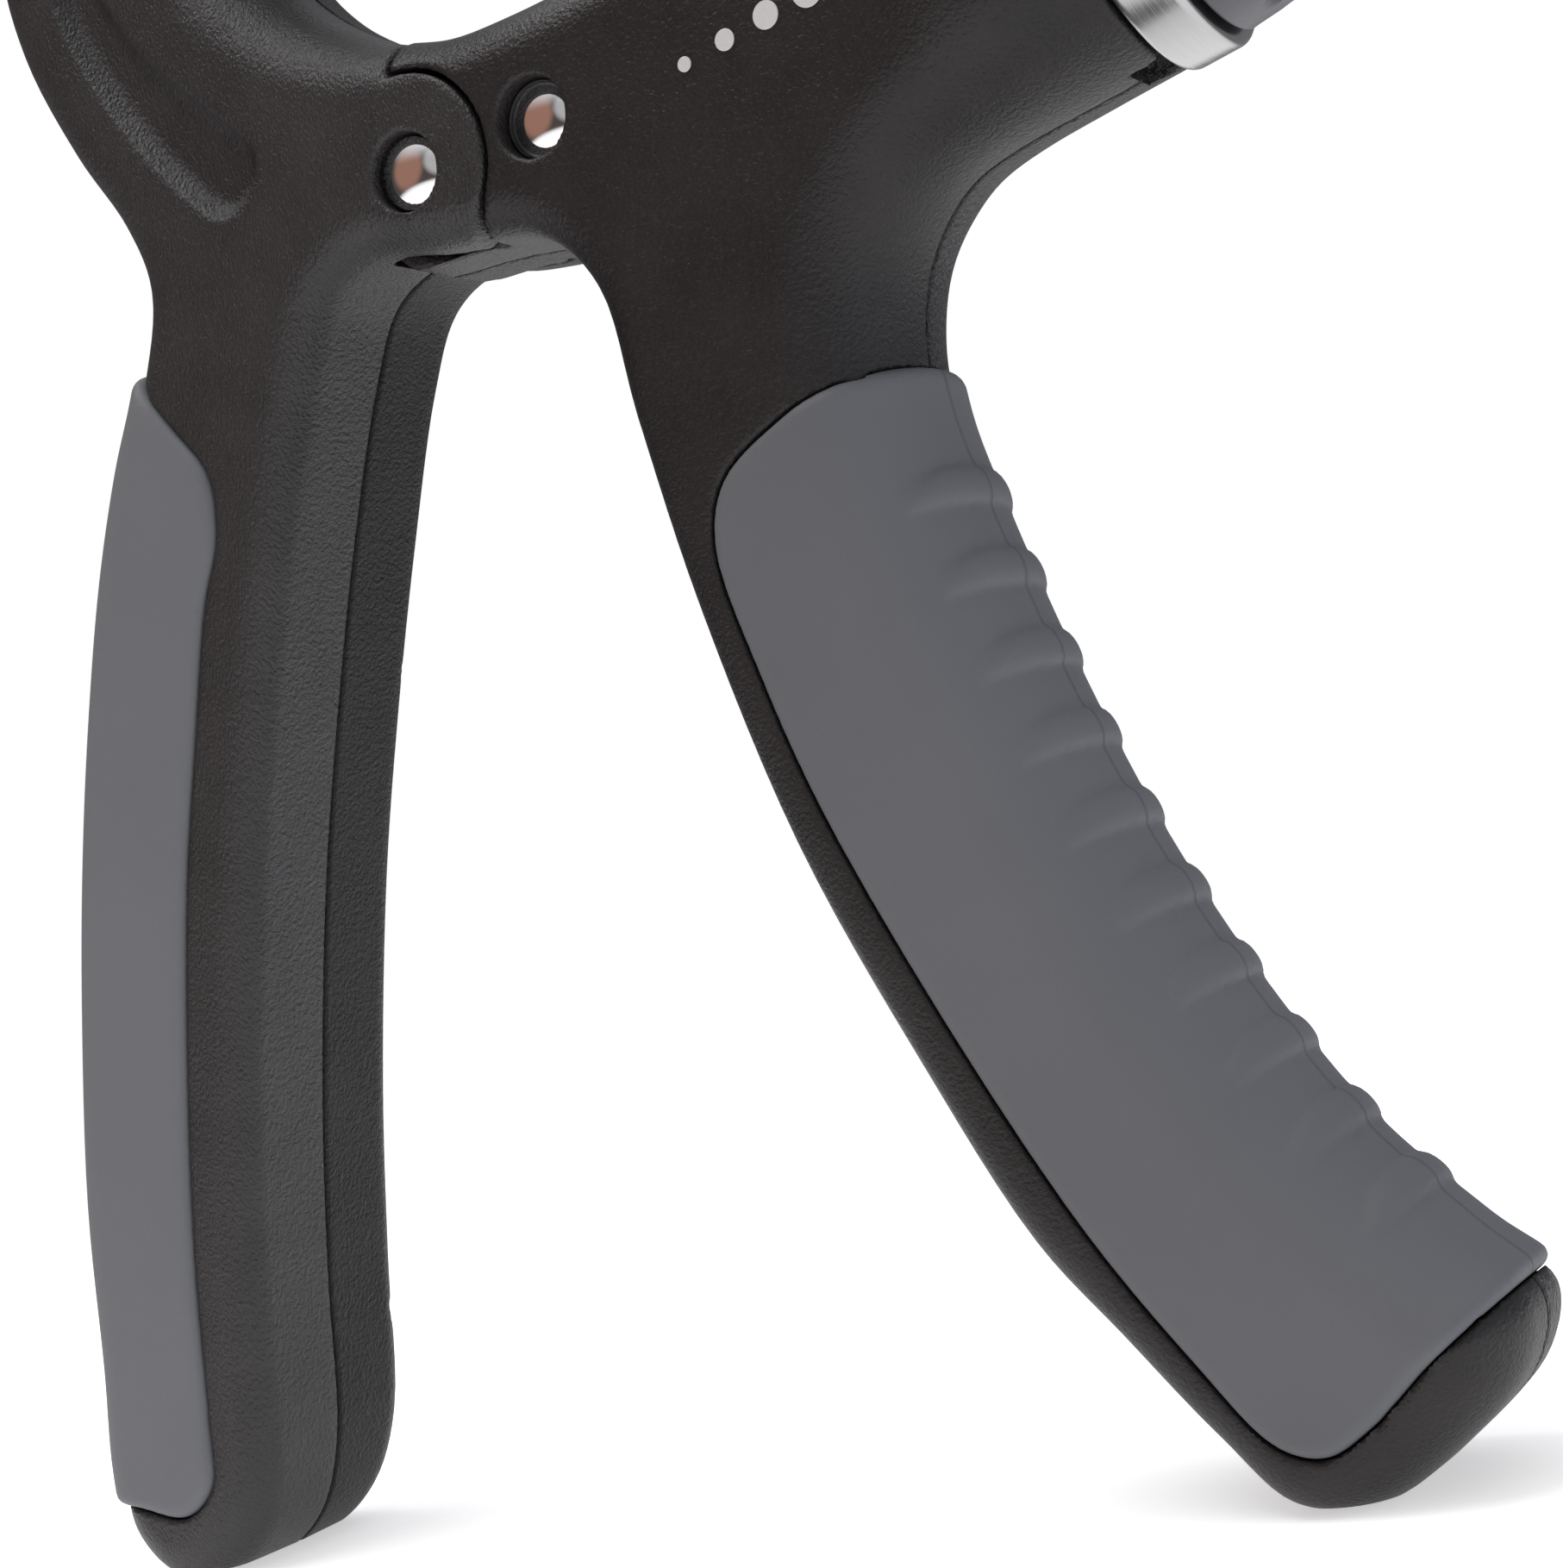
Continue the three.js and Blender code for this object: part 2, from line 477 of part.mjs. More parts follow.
addPiece('adjusting_screw', screwSolid.subtract(crossPinHole), steel);
addPiece('screw_end_bushing', turnedOnArm(tube(SCREW_R + GAP, 5, 20, 24.2), 20), nylon);
addPiece('screw_bearing', turnedOnArm(tube(SCREW_R + GAP, 5, 53.8, RING.end - 1.2), 20), nylon);
addPiece('screw_clip', clipSolid, darkSteel);
addPiece('thrust_washer', turnedOnArm(tube(SCREW_R + GAP, 7.5, RING.end - 0.9, RING.end + 0.1), 20), steel);
addPiece('collar_ring', turnedOnArm([
  [RING.bore, RING.start], [RING.radius - RING.edge, RING.start], [RING.radius, RING.start + RING.edge],
  [RING.radius, RING.end - RING.edge], [RING.radius - RING.edge, RING.end], [RING.bore, RING.end],
  [RING.bore, RING.start],
], 40), steel);
addPiece('knob_hub', hubSolid.subtract(crossPinHole), darkSteel);
addPiece('knob_sleeve', knobSleeve(), knobPlastic);
addPiece('knob_cap', turnedOnArm([
  [0, KNOB.end - 2.7], [12.6, KNOB.end - 2.7], [12.6, KNOB.end - 1.5], [10.5, KNOB.end], [0, KNOB.end],
], 32), knobPlastic);
addPiece('knob_cross_pin', boxOnArm(71.6, 73.4, -8.8, 8.8, -0.9, 0.9), steel);

LEVER_SCREWS.forEach(([x, z], i) =>
  addPiece(`lever_screw_${i + 1}`, turned(screwProfile(), x, z, 14), darkSteel));
FRAME_SCREWS.forEach(([x, z], i) =>
  addPiece(`frame_screw_${i + 1}`, turned(screwProfile(), x, z, 14), darkSteel));
addPiece('scale_strip', boxOnArm(26, 46, -HALF_DEPTH - GAP - 0.3, -HALF_DEPTH - GAP, -0.9, 3.3), printed);

export default strengthener;
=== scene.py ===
import functools
import json
import math

import bmesh
import bpy
import numpy as np
from mathutils import Matrix, Vector


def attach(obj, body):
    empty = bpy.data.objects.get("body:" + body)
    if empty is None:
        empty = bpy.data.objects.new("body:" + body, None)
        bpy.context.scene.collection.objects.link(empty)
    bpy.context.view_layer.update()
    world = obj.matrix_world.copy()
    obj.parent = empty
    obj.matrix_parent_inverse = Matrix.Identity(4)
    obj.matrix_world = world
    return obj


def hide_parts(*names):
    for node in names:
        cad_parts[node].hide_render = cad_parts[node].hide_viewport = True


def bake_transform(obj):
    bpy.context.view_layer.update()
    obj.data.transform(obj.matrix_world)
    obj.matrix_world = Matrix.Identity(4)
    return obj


# Looks for an adjustable hand grip strengthener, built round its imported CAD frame. Shapes are worked out in
# millimetres from the pivot (X right, Y back, Z up) and turned into metres of the frame when a mesh is made.
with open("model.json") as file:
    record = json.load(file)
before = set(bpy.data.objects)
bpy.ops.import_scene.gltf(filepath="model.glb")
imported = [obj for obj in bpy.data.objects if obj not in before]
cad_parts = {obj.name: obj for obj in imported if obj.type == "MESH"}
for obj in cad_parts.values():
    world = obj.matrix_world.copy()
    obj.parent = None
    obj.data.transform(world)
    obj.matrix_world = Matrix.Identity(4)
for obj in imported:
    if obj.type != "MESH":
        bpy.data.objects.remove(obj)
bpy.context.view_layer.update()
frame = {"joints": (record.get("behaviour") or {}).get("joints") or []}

# -------------------------------- driving dimensions, in mm
MM = 0.001
JOINTS = {joint["name"]: joint for joint in frame["joints"]}
PIVOT = Vector(JOINTS["handle_pivot"]["pos_m"])
ARM_AXIS = -Vector(JOINTS["knob_turn"]["axis"])  # along the screw, towards the knob
RING_START = 60.0  # along the screw's axis
ARM_ORIGIN = (Vector(JOINTS["knob_turn"]["pos_m"]) - PIVOT) / MM - RING_START * ARM_AXIS
FLOOR = -PIVOT.z / MM
HALF_DEPTH = 11.0
EAR_R = 8.0
EAR_SEAM = 0.4
EAR_INNER_Y = 5.4
TONGUE_Y = 4.4
TONGUE_RIM = (6.3, 5.15)  # the tongue is thicker outside that radius
HUB_CUT_X = -0.4  # lever material outside the ear's circle ends here
FRAME_CUT_X = -0.1  # frame material outside it starts here
RECESS_R = 3.3
RIVET_HEAD_R = 3.0
RIVET_SHANK_R = 2.1
FRAME_RIVET = (13.1, 0.5)
PIVOT_HEAD_DEPTH = 0.4  # top of the rivet's head below the face
FRAME_HEAD_DEPTH = 1.0
RIVET_HEAD_HEIGHT = 1.2
RIVET_DOME_HEIGHT = 0.9
ARM_R = 14.0
ARM_END = 59.7
ARM_TURNS_ROUND = (38, 57)  # the arm's section grows round between these places
UNDER_ARM = (-24, -17)  # heights between which the neck's section takes over
ARM_NOTCH = (2.6, -12.3, 2.0)  # under the arm's end: its length, top and half width
SPIGOT_R = 8.2  # the arm's stub inside the ring
SPIGOT_START = 50
RING_END = 64.5
RING_R = 14.5
KNOB_START = 65.0
KNOB_END = 82.0
KNOB_R = 13.7
KNOB_BORE_R = 9.3
KNOB_TAPER = 0.085  # lost from its radius per mm
FLUTE_COUNT = 18
FLUTE_DEPTH = 1.05
SCREW_R = 3.0
THREAD_PITCH = 2.0
THREAD_DEPTH = 0.55
BEARING_R = 5.0
BORE_R = 5.3  # of the bearings' seats in the arm
END_SEAT = (22.1, 2.4)  # the inner bearing's seat: its middle and half length
OUTER_SEAT = 53.5  # where the outer bearing's seat starts
NUT_MIDDLE = 38.0
NUT_PIN_HEIGHT = 9.5
ANCHOR = (-14.0, 46.0)
ANCHOR_PIN_R = 2.0
ANCHOR_PIN_REACH = 8.6
ANCHOR_BORE_Y = 9.0
ANCHOR_SLOT_R = 6.0
HOOK_PIN_R = 1.6
HOOK_PIN_REACH = 4.6
SLOT_HALF_Y = 5.2  # of the slots that the spring and the nut are in
BUSHING_R = 3.3
WASHER_R = 6.0
GAP = 0.3
PLAY = 0.25  # of a pin in its hole
SEAM_ROUND = 0.35
SLOT_ROUND = 0.5
RECESS_ROUND = 0.22
SHELL_PITCH = 0.36  # of the grids that the moulded shapes are meshed on
SHELL_GAP = 0.035  # from each half shell to the parting plane
DRAFT = 0.03  # how much the side walls lean in, per mm of depth
SQUARE_EDGE = 3.2  # an edge up to this wide is round, a wider one elliptic
EDGE_STRETCH = 1.5  # how much faster such an edge grows through the depth
GRIP_PROUD = 1.0
GRIP_DEPTH = HALF_DEPTH + 0.5
GRIP_LIP = 1.2  # rounding of the rubber's border
GRIP_BORDER_GAP = 0.1
CORE_INSET = 2.0  # of the body under the rubber, from the outline
CORE_Y = 8.6
CORE_ROUND = 2.0
RIB_PITCH = 6.95
RIB_LENGTH = 3.1
RIB_HEIGHT = 0.62
RIB_REACH = 9.3  # half the ribs' width, along Y
GROOVE_DEPTH = 1.6
GROOVE_SLOPE = 1.9  # width of the groove's sloping sides
SHELL_SCREW_HEAD_Y = 8.2
SHELL_SCREW_HEAD_R = 2.2
SHELL_SCREW_HEAD_HEIGHT = 1.8
SHELL_SCREW_R = 1.2
SHELL_SCREW_HOLE_R = 1.5
SHELL_PILOT_Y = 7.4  # depth of the holes in the front shells

# -------------------------------- outlines: x, z and the width of the rounded edge
LEVER_OUTLINE = [
    (0, -6.6, 3.6), (-6, -5.5, 3.6), (-10.8, -7.6, 3.6), (-14.5, -13.5, 3.6), (-20, -26, 3.2),
    (-25.3, -40.2, 3.2), (-30.4, -55.6, 3.2), (-35.4, -75, 3.2), (-38.4, -90.3, 3.2), (-40.8, -105, 3.6),
    (-44.2, -111.6, 4.2), (-49.5, -115, 4.2), (-55.5, -114.8, 4.2), (-59.3, -110.5, 4.2), (-59.6, -104.5, 4),
    (-58.4, -95, 4), (-56.8, -80, 4), (-52.9, -61, 4), (-49.5, -47.8, 4), (-45.8, -35.9, 4), (-42, -25, 4.2),
    (-38.2, -16, 4.6), (-34.2, -8.5, 4.8), (-31.7, -1.5, 4.8), (-33.1, 4.4, 4.8), (-37.3, 12.2, 4.8),
    (-41.3, 22.5, 4.8), (-42.2, 32, 4.8), (-39, 42.5, 4.8), (-31.5, 50, 4.8), (-22, 54, 4.4),
    (-13, 54.5, 3.8), (-6.8, 50.5, 3.4), (-6, 44.5, 3.2), (-9.6, 39.6, 3.4), (-15.5, 37, 4.5), (-18, 32, 6),
    (-16.6, 26, 6.5), (-12, 19.5, 6.5), (-6, 14.8, 6), (0, 11.8, 5), (7, 9.8, 3.6), (12.5, 5, 3.6),
    (13.5, -3, 3.6), (11, -8.4, 3.6), (5.5, -7.4, 3.6),
]
FRAME_OUTLINE = [
    (4.5, 10.9, 5), (10.5, 10.8, 5), (18.5, 11.6, 5.4), (30, 13.5, 5.4), (44, 15.9, 6), (57.4, 18.2, 6.5),
    (66, 19.7, 6.5), (72, 13.5, 6), (73.8, 3.5, 6), (74.5, -3.5, 6), (70.5, -8, 7), (62.2, -9.4, 7.4),
    (56, -10.5, 7.4), (50, -11.6, 7.4), (44.5, -13.6, 7.6), (40.6, -17.6, 8), (38.6, -23, 8), (38.4, -29, 8),
    (40, -37.5, 8), (43.5, -51.5, 8), (47.8, -64.8, 8), (53.4, -77.5, 8), (60, -88.8, 8), (67, -97, 7.5),
    (71.4, -102, 6.5), (70.2, -106.6, 6.5), (65.2, -111.2, 6), (59, -114.8, 5), (53, -114.2, 4),
    (48.3, -108.8, 3.4), (42.4, -100.9, 3.2), (36.8, -93.3, 3.2), (30, -78.5, 3.2), (23.2, -60.8, 3.2),
    (18.5, -41, 3.2), (16.1, -25, 3.2), (14.6, -14, 3.6), (10.5, -8.7, 3.8), (4, -7.1, 3.8), (-4, -6.6, 3.6),
    (-11, -5, 3.6), (-15.5, 1, 4), (-14.5, 9.5, 5), (-8.5, 13.9, 5.6), (-2, 12.6, 5.4),
]
LEVER_GRIP_REGION = [
    (-29, -14.5), (-26.3, -19), (-26.6, -24.5), (-29.3, -30.1), (-33.5, -42.5), (-37, -53.4), (-41.5, -72.5),
    (-44.2, -87.4), (-45.8, -100.8), (-46.7, -106.2), (-50.5, -108.9), (-57, -107.6), (-72, -106), (-72, -60),
    (-60, -20), (-44, -2), (-36, -5.6),
]
FRAME_GRIP_REGION = [
    (22.2, -36.5), (24.1, -31.8), (30, -28.4), (38, -26), (52, -24), (72, -60), (84, -92), (74.5, -98.2),
    (66, -104), (60.5, -108.5), (57, -110.2), (53.5, -109.2), (48.5, -102.8), (40.8, -90.4), (28, -61.2),
    (24, -47.4),
]
LEVER_GROOVE = [
    (-15.6, 3.4), (-14.8, 6.4), (-20.6, 13.3), (-26.2, 20.1), (-29.4, 28), (-29.2, 35), (-32.6, 35),
    (-34.2, 27), (-31.2, 17.2), (-24.6, 6.4), (-19.5, 1.6),
]
LEVER_SCREWS = [(-27.6, -36), (-42.4, -95), (-30, 41)]
FRAME_SCREWS = [(27, -19), (36.4, -86), (36, -12)]
RIBBED_STRETCH = (17, 24)  # points of FRAME_OUTLINE that the ribs lie between
FIRST_RIB_Z = -37.5
RIB_COUNT = 10
CURVE_STEPS = 6  # samples per outline point


# -------------------------------- curves
def smooth_loop(points):
    """Samples of the closed centripetal Catmull-Rom curve through the points; a third column follows."""
    control = np.array(points, float)
    count = len(control)
    samples = []
    for i in range(count):
        p = control[[(i - 1) % count, i, (i + 1) % count, (i + 2) % count]]
        gaps = np.sqrt(np.linalg.norm(np.diff(p[:, :2], axis=0), axis=1))
        t = np.concatenate([[0], np.cumsum(gaps)])
        for u in np.linspace(t[1], t[2], CURVE_STEPS, endpoint=False):
            a = [p[k] + (p[k + 1] - p[k]) * (u - t[k]) / (t[k + 1] - t[k]) for k in range(3)]
            b = [a[k] + (a[k + 1] - a[k]) * (u - t[k]) / (t[k + 2] - t[k]) for k in range(2)]
            samples.append(b[0] + (b[1] - b[0]) * (u - t[1]) / (t[2] - t[1]))
    return np.array(samples)


def arm_point(along, height):
    """(x, z) of a point on the arm, from its place along the screw's axis and its height above it."""
    return (
        ARM_ORIGIN.x + along * ARM_AXIS.x - height * ARM_AXIS.z,
        ARM_ORIGIN.z + along * ARM_AXIS.z + height * ARM_AXIS.x,
    )


# -------------------------------- fields: negative inside, about true distance
class Grid:
    """Sample points of a box, in mm from the pivot."""

    def __init__(self, low, high, pitch):
        counts = [int(math.ceil((b - a) / pitch)) + 1 for a, b in zip(low, high)]
        x, y, z = (low[i] + pitch * np.arange(counts[i], dtype=np.float32) for i in range(3))
        self.x, self.y, self.z = x[:, None, None], y[None, :, None], z[None, None, :]
        self.low, self.pitch = np.array(low, float), pitch


def loop_distance(grid, loop):
    """Distance in X and Z to a closed loop, negative inside it, and the third column at the nearest point."""
    x, z = grid.x[:, 0], grid.z[0]
    best = np.full((x.shape[0], z.shape[1]), 1e9, np.float32)
    carried = np.zeros_like(best)
    inside = np.zeros(best.shape, bool)
    has_third = loop.shape[1] > 2
    for a, b in zip(loop.astype(np.float32), np.roll(loop, -1, 0).astype(np.float32)):
        ex, ez = b[0] - a[0], b[1] - a[1]
        wx, wz = x - a[0], z - a[1]
        share = np.clip((wx * ex + wz * ez) / (ex * ex + ez * ez), 0, 1)
        square = (wx - share * ex) ** 2 + (wz - share * ez) ** 2
        if has_third:
            carried = np.where(square < best, a[2] + share * (b[2] - a[2]), carried)
        best = np.minimum(best, square)
        if ez:
            inside ^= ((a[1] <= z) != (b[1] <= z)) & (wx < wz * (ex / ez))
    distance = np.sqrt(best) * np.where(inside, -1, 1).astype(np.float32)
    return distance[:, None, :], carried[:, None, :]


def polygon_distance(grid, points):
    return loop_distance(grid, np.array(points, float))[0]


def disc(grid, centre, radius):
    return np.hypot(grid.x - centre[0], grid.z - centre[1]) - radius


def smooth_step(values, start, end):
    t = np.clip((values - start) / (end - start), 0, 1)
    return t * t * (3 - 2 * t)


def rounded_max(a, b, radius):
    """The meeting of two fields, with the edge between them rounded off."""
    return np.minimum(np.maximum(a, b), -radius) + np.hypot(
        np.maximum(a + radius, 0), np.maximum(b + radius, 0)
    )


def cut(body, *fields):
    """The body without what lies inside all of the fields."""
    return np.maximum(body, -functools.reduce(np.maximum, fields))


def smooth_min(a, b, width):
    """The union of two fields, with a fillet."""
    share = np.clip(0.5 + 0.5 * (b - a) / width, 0, 1)
    return b + (a - b) * share - width * share * (1 - share)


def plate(grid, distance, edge, depth):
    """A plate on an outline, as deep as depth each way, with its long edges rounded over the width edge."""
    through_edge = SQUARE_EDGE + (edge - SQUARE_EDGE) * EDGE_STRETCH
    across = (distance + DRAFT * np.abs(grid.y)) / edge + 1
    through = (np.abs(grid.y) - depth) / through_edge + 1
    corner_x, corner_y = np.maximum(across, 0), np.maximum(through, 0)
    corner = np.hypot(corner_x, corner_y)
    steepness = np.hypot(corner_x / edge, corner_y / through_edge) / np.maximum(corner, 0.05)
    steepness = np.where(corner > 0.05, steepness, 1 / edge)
    return (corner - 1 + np.minimum(np.maximum(across, through), 0)) / steepness


def arm_coordinates(grid):
    along = (grid.x - ARM_ORIGIN.x) * ARM_AXIS.x + (grid.z - ARM_ORIGIN.z) * ARM_AXIS.z
    height = (grid.z - ARM_ORIGIN.z) * ARM_AXIS.x - (grid.x - ARM_ORIGIN.x) * ARM_AXIS.z
    return along, height


# -------------------------------- from a field to a mesh
CORNERS = np.array([(i, j, k) for i in (0, 1) for j in (0, 1) for k in (0, 1)])
CELL_EDGES = [
    (a, b) for a in range(8) for b in range(a + 1, 8) if np.abs(CORNERS[a] - CORNERS[b]).sum() == 1
]


def sample(field, points):
    """The field between its sample points; points are in cells."""
    base = np.clip(np.floor(points).astype(int), 0, np.array(field.shape) - 2)
    t = points - base
    total = np.zeros(len(points))
    for corner in CORNERS:
        weight = np.prod(np.where(corner, t, 1 - t), axis=1)
        total += weight * field[tuple((base + corner).T)]
    return total


def surface_net(field):
    """Vertices, in cells, and outward quads of the surface where the field crosses zero."""
    inside = field < 0
    counts = np.zeros([n - 1 for n in field.shape], np.int8)
    for i, j, k in CORNERS:
        shape = counts.shape
        counts += inside[i:i + shape[0], j:j + shape[1], k:k + shape[2]]
    cells = np.argwhere((counts > 0) & (counts < 8))
    values = np.stack([field[tuple((cells + corner).T)] for corner in CORNERS], 1).astype(float)
    total, crossed = np.zeros((len(cells), 3)), np.zeros(len(cells))
    for a, b in CELL_EDGES:
        va, vb = values[:, a], values[:, b]
        cross = (va < 0) != (vb < 0)
        t = np.where(cross, va / np.where(cross, va - vb, 1), 0)
        total += np.where(cross[:, None], CORNERS[a] + t[:, None] * (CORNERS[b] - CORNERS[a]), 0)
        crossed += cross
    vertices = cells + total / crossed[:, None]
    index = np.full(counts.shape, -1, np.int64)
    index[tuple(cells.T)] = np.arange(len(cells))
    quads = []
    for axis in range(3):
        step = np.eye(3, dtype=int)
        forward, u, v = step[axis], step[(axis + 1) % 3], step[(axis + 2) % 3]
        near = inside[tuple(slice(0, n - s) for n, s in zip(inside.shape, forward))]
        far = inside[tuple(slice(s, n) for n, s in zip(inside.shape, forward))]
        points = np.argwhere(near != far)
        limits = np.array(counts.shape)
        points = points[((points > 0) | (forward > 0)).all(1) & (points < limits).all(1)]
        ring = [index[tuple(p.T)] for p in (points, points - u, points - u - v, points - v)]
        ring = np.stack(ring, 1)
        leaving = inside[tuple(points.T)]
        quads.append(np.where(leaving[:, None], ring, ring[:, ::-1]))
    return vertices, np.concatenate(quads)


def settle(field, vertices):
    """Moves each vertex onto the field's zero surface."""
    start = vertices
    for _ in range(3):
        value = sample(field, vertices)
        slope = np.stack([
            sample(field, vertices + 0.4 * axis) - sample(field, vertices - 0.4 * axis)
            for axis in np.eye(3)
        ], 1) / 0.8
        size = np.maximum((slope ** 2).sum(1), 0.04 * np.median((slope ** 2).sum(1)))
        vertices = vertices - (value / size)[:, None] * slope
        vertices = start + np.clip(vertices - start, -0.45, 0.45)
    return vertices


def field_mesh(grid, field, mirrored=False):
    """Vertices in mm and quads of a field. Mirrored turns a half made for positive Y into the front one."""
    field = np.ascontiguousarray(np.broadcast_to(field, [grid.x.size, grid.y.size, grid.z.size]))
    vertices, quads = surface_net(field)
    vertices = grid.low + grid.pitch * settle(field, vertices)
    if mirrored:
        vertices = vertices * (1, -1, 1)
        quads = quads[:, ::-1]
    return vertices, quads


# -------------------------------- moulded bodies; Y counts from the parting plane
def rivet_recess(grid, centre, head_depth):
    seat = HALF_DEPTH - head_depth - RIVET_HEAD_HEIGHT - GAP
    recess = np.maximum(disc(grid, centre, RECESS_R), seat - grid.y)
    return np.minimum(recess, disc(grid, centre, RIVET_SHANK_R + PLAY))


def lever_body(grid, distance, edge):
    groove = loop_distance(grid, smooth_loop(LEVER_GROOVE))[0]
    slope = np.sin(np.clip(-groove / GROOVE_SLOPE, 0, 1) * math.pi / 2)
    body = plate(grid, distance, edge, HALF_DEPTH - GROOVE_DEPTH * slope)
    hub = disc(grid, (0, 0), EAR_R)
    body = rounded_max(body, np.minimum(hub, grid.x - HUB_CUT_X), SEAM_ROUND)
    tongue_room = np.minimum(hub - 0.5, HUB_CUT_X - grid.x)
    body = cut(body, tongue_room, grid.y - EAR_INNER_Y)
    mouth = polygon_distance(grid, [(-18, 50.4), (2, 50.4), (2, 30), (-18.5, 42)])
    anchor_slot = np.minimum(disc(grid, ANCHOR, ANCHOR_SLOT_R), mouth)
    body = rounded_max(body, -np.maximum(anchor_slot, grid.y - SLOT_HALF_Y), SLOT_ROUND)
    body = cut(body, disc(grid, ANCHOR, ANCHOR_PIN_R + PLAY), grid.y - ANCHOR_BORE_Y)
    return rounded_max(body, -rivet_recess(grid, (0, 0), PIVOT_HEAD_DEPTH), RECESS_ROUND)


def frame_body(grid, distance, edge):
    along, height = arm_coordinates(grid)
    body = plate(grid, distance, edge, HALF_DEPTH)
    share = smooth_step(along, *ARM_TURNS_ROUND) * smooth_step(height, *UNDER_ARM)
    body = body + share * (np.hypot(height, grid.y) - ARM_R - body)
    body = rounded_max(body, along - ARM_END, 0.4)
    notch_length, notch_top, notch_half_y = ARM_NOTCH
    body = cut(body, ARM_END - notch_length - along, height - notch_top, grid.y - notch_half_y)
    stub = np.maximum(along - RING_END + 1.5, SPIGOT_START - along)
    body = np.minimum(body, np.maximum(np.hypot(height, grid.y) - SPIGOT_R, stub))

    hub = disc(grid, (0, 0), EAR_R)
    lever_room = np.minimum(hub - EAR_SEAM, grid.x - FRAME_CUT_X)
    between_ears = np.maximum(np.maximum(body, grid.y - TONGUE_Y), FRAME_CUT_X - grid.x)
    lever_distance, lever_edge = loop_distance(grid, smooth_loop(LEVER_OUTLINE))
    flush = np.minimum(plate(grid, lever_distance, lever_edge, HALF_DEPTH), body)
    thickness = np.where(hub + EAR_R > TONGUE_RIM[0], TONGUE_RIM[1], TONGUE_Y)
    tongue = np.maximum(np.maximum(hub, flush), grid.y - thickness)
    body = rounded_max(body, -lever_room, SEAM_ROUND)
    body = np.minimum(np.minimum(body, between_ears), tongue)
    body = cut(body, disc(grid, (0, 0), BUSHING_R + GAP), grid.y - EAR_INNER_Y)

    nut_slot = polygon_distance(grid, [
        arm_point(24, -7), arm_point(54, -7), arm_point(54, 20), arm_point(13, 20), arm_point(13.5, 14),
        arm_point(22, 7),
    ])
    body = rounded_max(body, -np.maximum(nut_slot, grid.y - SLOT_HALF_Y), SLOT_ROUND)
    seats = np.minimum(np.abs(along - END_SEAT[0]) - END_SEAT[1], OUTER_SEAT - along)
    body = cut(body, np.hypot(height, grid.y) - BORE_R, seats)
    return rounded_max(body, -rivet_recess(grid, FRAME_RIVET, FRAME_HEAD_DEPTH), RECESS_ROUND)


def under_rubber(grid, body, distance, region):
    """The body with the room for its rubber grip taken out."""
    core = plate(grid, distance + CORE_INSET, CORE_ROUND, CORE_Y)
    return cut(body, region, -core)


def half_shell(grid, body):
    """One half of a body: flat at the parting plane, and standing on the floor."""
    return np.maximum(np.maximum(body, SHELL_GAP - grid.y), FLOOR - grid.z)


def with_screw_holes(grid, shell, places):
    for place in places:
        seat = SHELL_SCREW_HEAD_Y - SHELL_SCREW_HEAD_HEIGHT - GAP
        head = np.maximum(disc(grid, place, SHELL_SCREW_HEAD_R + GAP), seat - grid.y)
        shell = rounded_max(shell, -head, 0.3)
        shell = cut(shell, disc(grid, place, SHELL_SCREW_HOLE_R))
    return shell


def rubber_grip(grid, distance, edge, region, ribs=None):
    skin = plate(grid, distance - GRIP_PROUD, edge, GRIP_DEPTH)
    if ribs is not None:
        skin = add_ribs(grid, skin, ribs)
    grip = rounded_max(skin, region + GRIP_BORDER_GAP, GRIP_LIP)
    return cut(grip, plate(grid, distance + CORE_INSET - GAP, CORE_ROUND, CORE_Y + GAP))


def rib_places(loop):
    """Where the lower end of each rib lies on the grip's outer side, and which way the surface runs there."""
    stretch = loop[RIBBED_STRETCH[0] * CURVE_STEPS:RIBBED_STRETCH[1] * CURVE_STEPS + 1, :2]
    steps = np.diff(stretch, axis=0)
    length = np.concatenate([[0], np.cumsum(np.linalg.norm(steps, axis=1))])
    first = np.interp(-FIRST_RIB_Z, -stretch[:, 1], length)
    places = []
    for i in range(RIB_COUNT):
        at = first + i * RIB_PITCH
        point = np.array([np.interp(at, length, stretch[:, k]) for k in (0, 1)])
        ahead = np.array([np.interp(at + 1, length, stretch[:, k]) for k in (0, 1)])
        run = (ahead - point) / np.linalg.norm(ahead - point)
        places.append((point + GRIP_PROUD * np.array([-run[1], run[0]]), run))
    return places


def add_ribs(grid, skin, places):
    """Half-round ribs across the outer side. Each narrows to a point at its ends, on its lower edge."""
    skin = skin.copy()
    x, z = grid.x[:, 0, 0], grid.z[0, 0]
    narrow = np.clip(1 - np.abs(grid.y / RIB_REACH) ** 4, 1e-4, 1) ** 0.6
    reach = 9                                       # from a rib's place, in mm, that it can change the skin
    for (px, pz), (rx, rz) in places:
        rows = slice(*np.flatnonzero(np.abs(x - px) < reach)[[0, -1]])
        columns = slice(*np.flatnonzero(np.abs(z - pz) < reach)[[0, -1]])
        near = skin[rows, :, columns]
        along = (grid.x[rows] - px) * rx + (grid.z[:, :, columns] - pz) * rz
        half = RIB_LENGTH / 2 * narrow
        height = RIB_HEIGHT * narrow
        rib = (np.sqrt(((along + half) / half) ** 2 + (near / height) ** 2) - 1) * height
        skin[rows, :, columns] = smooth_min(near, rib, 0.1)
    return skin


# -------------------------------- plain meshes
def angles_round(count):
    return np.linspace(0, 2 * math.pi, count, endpoint=False)


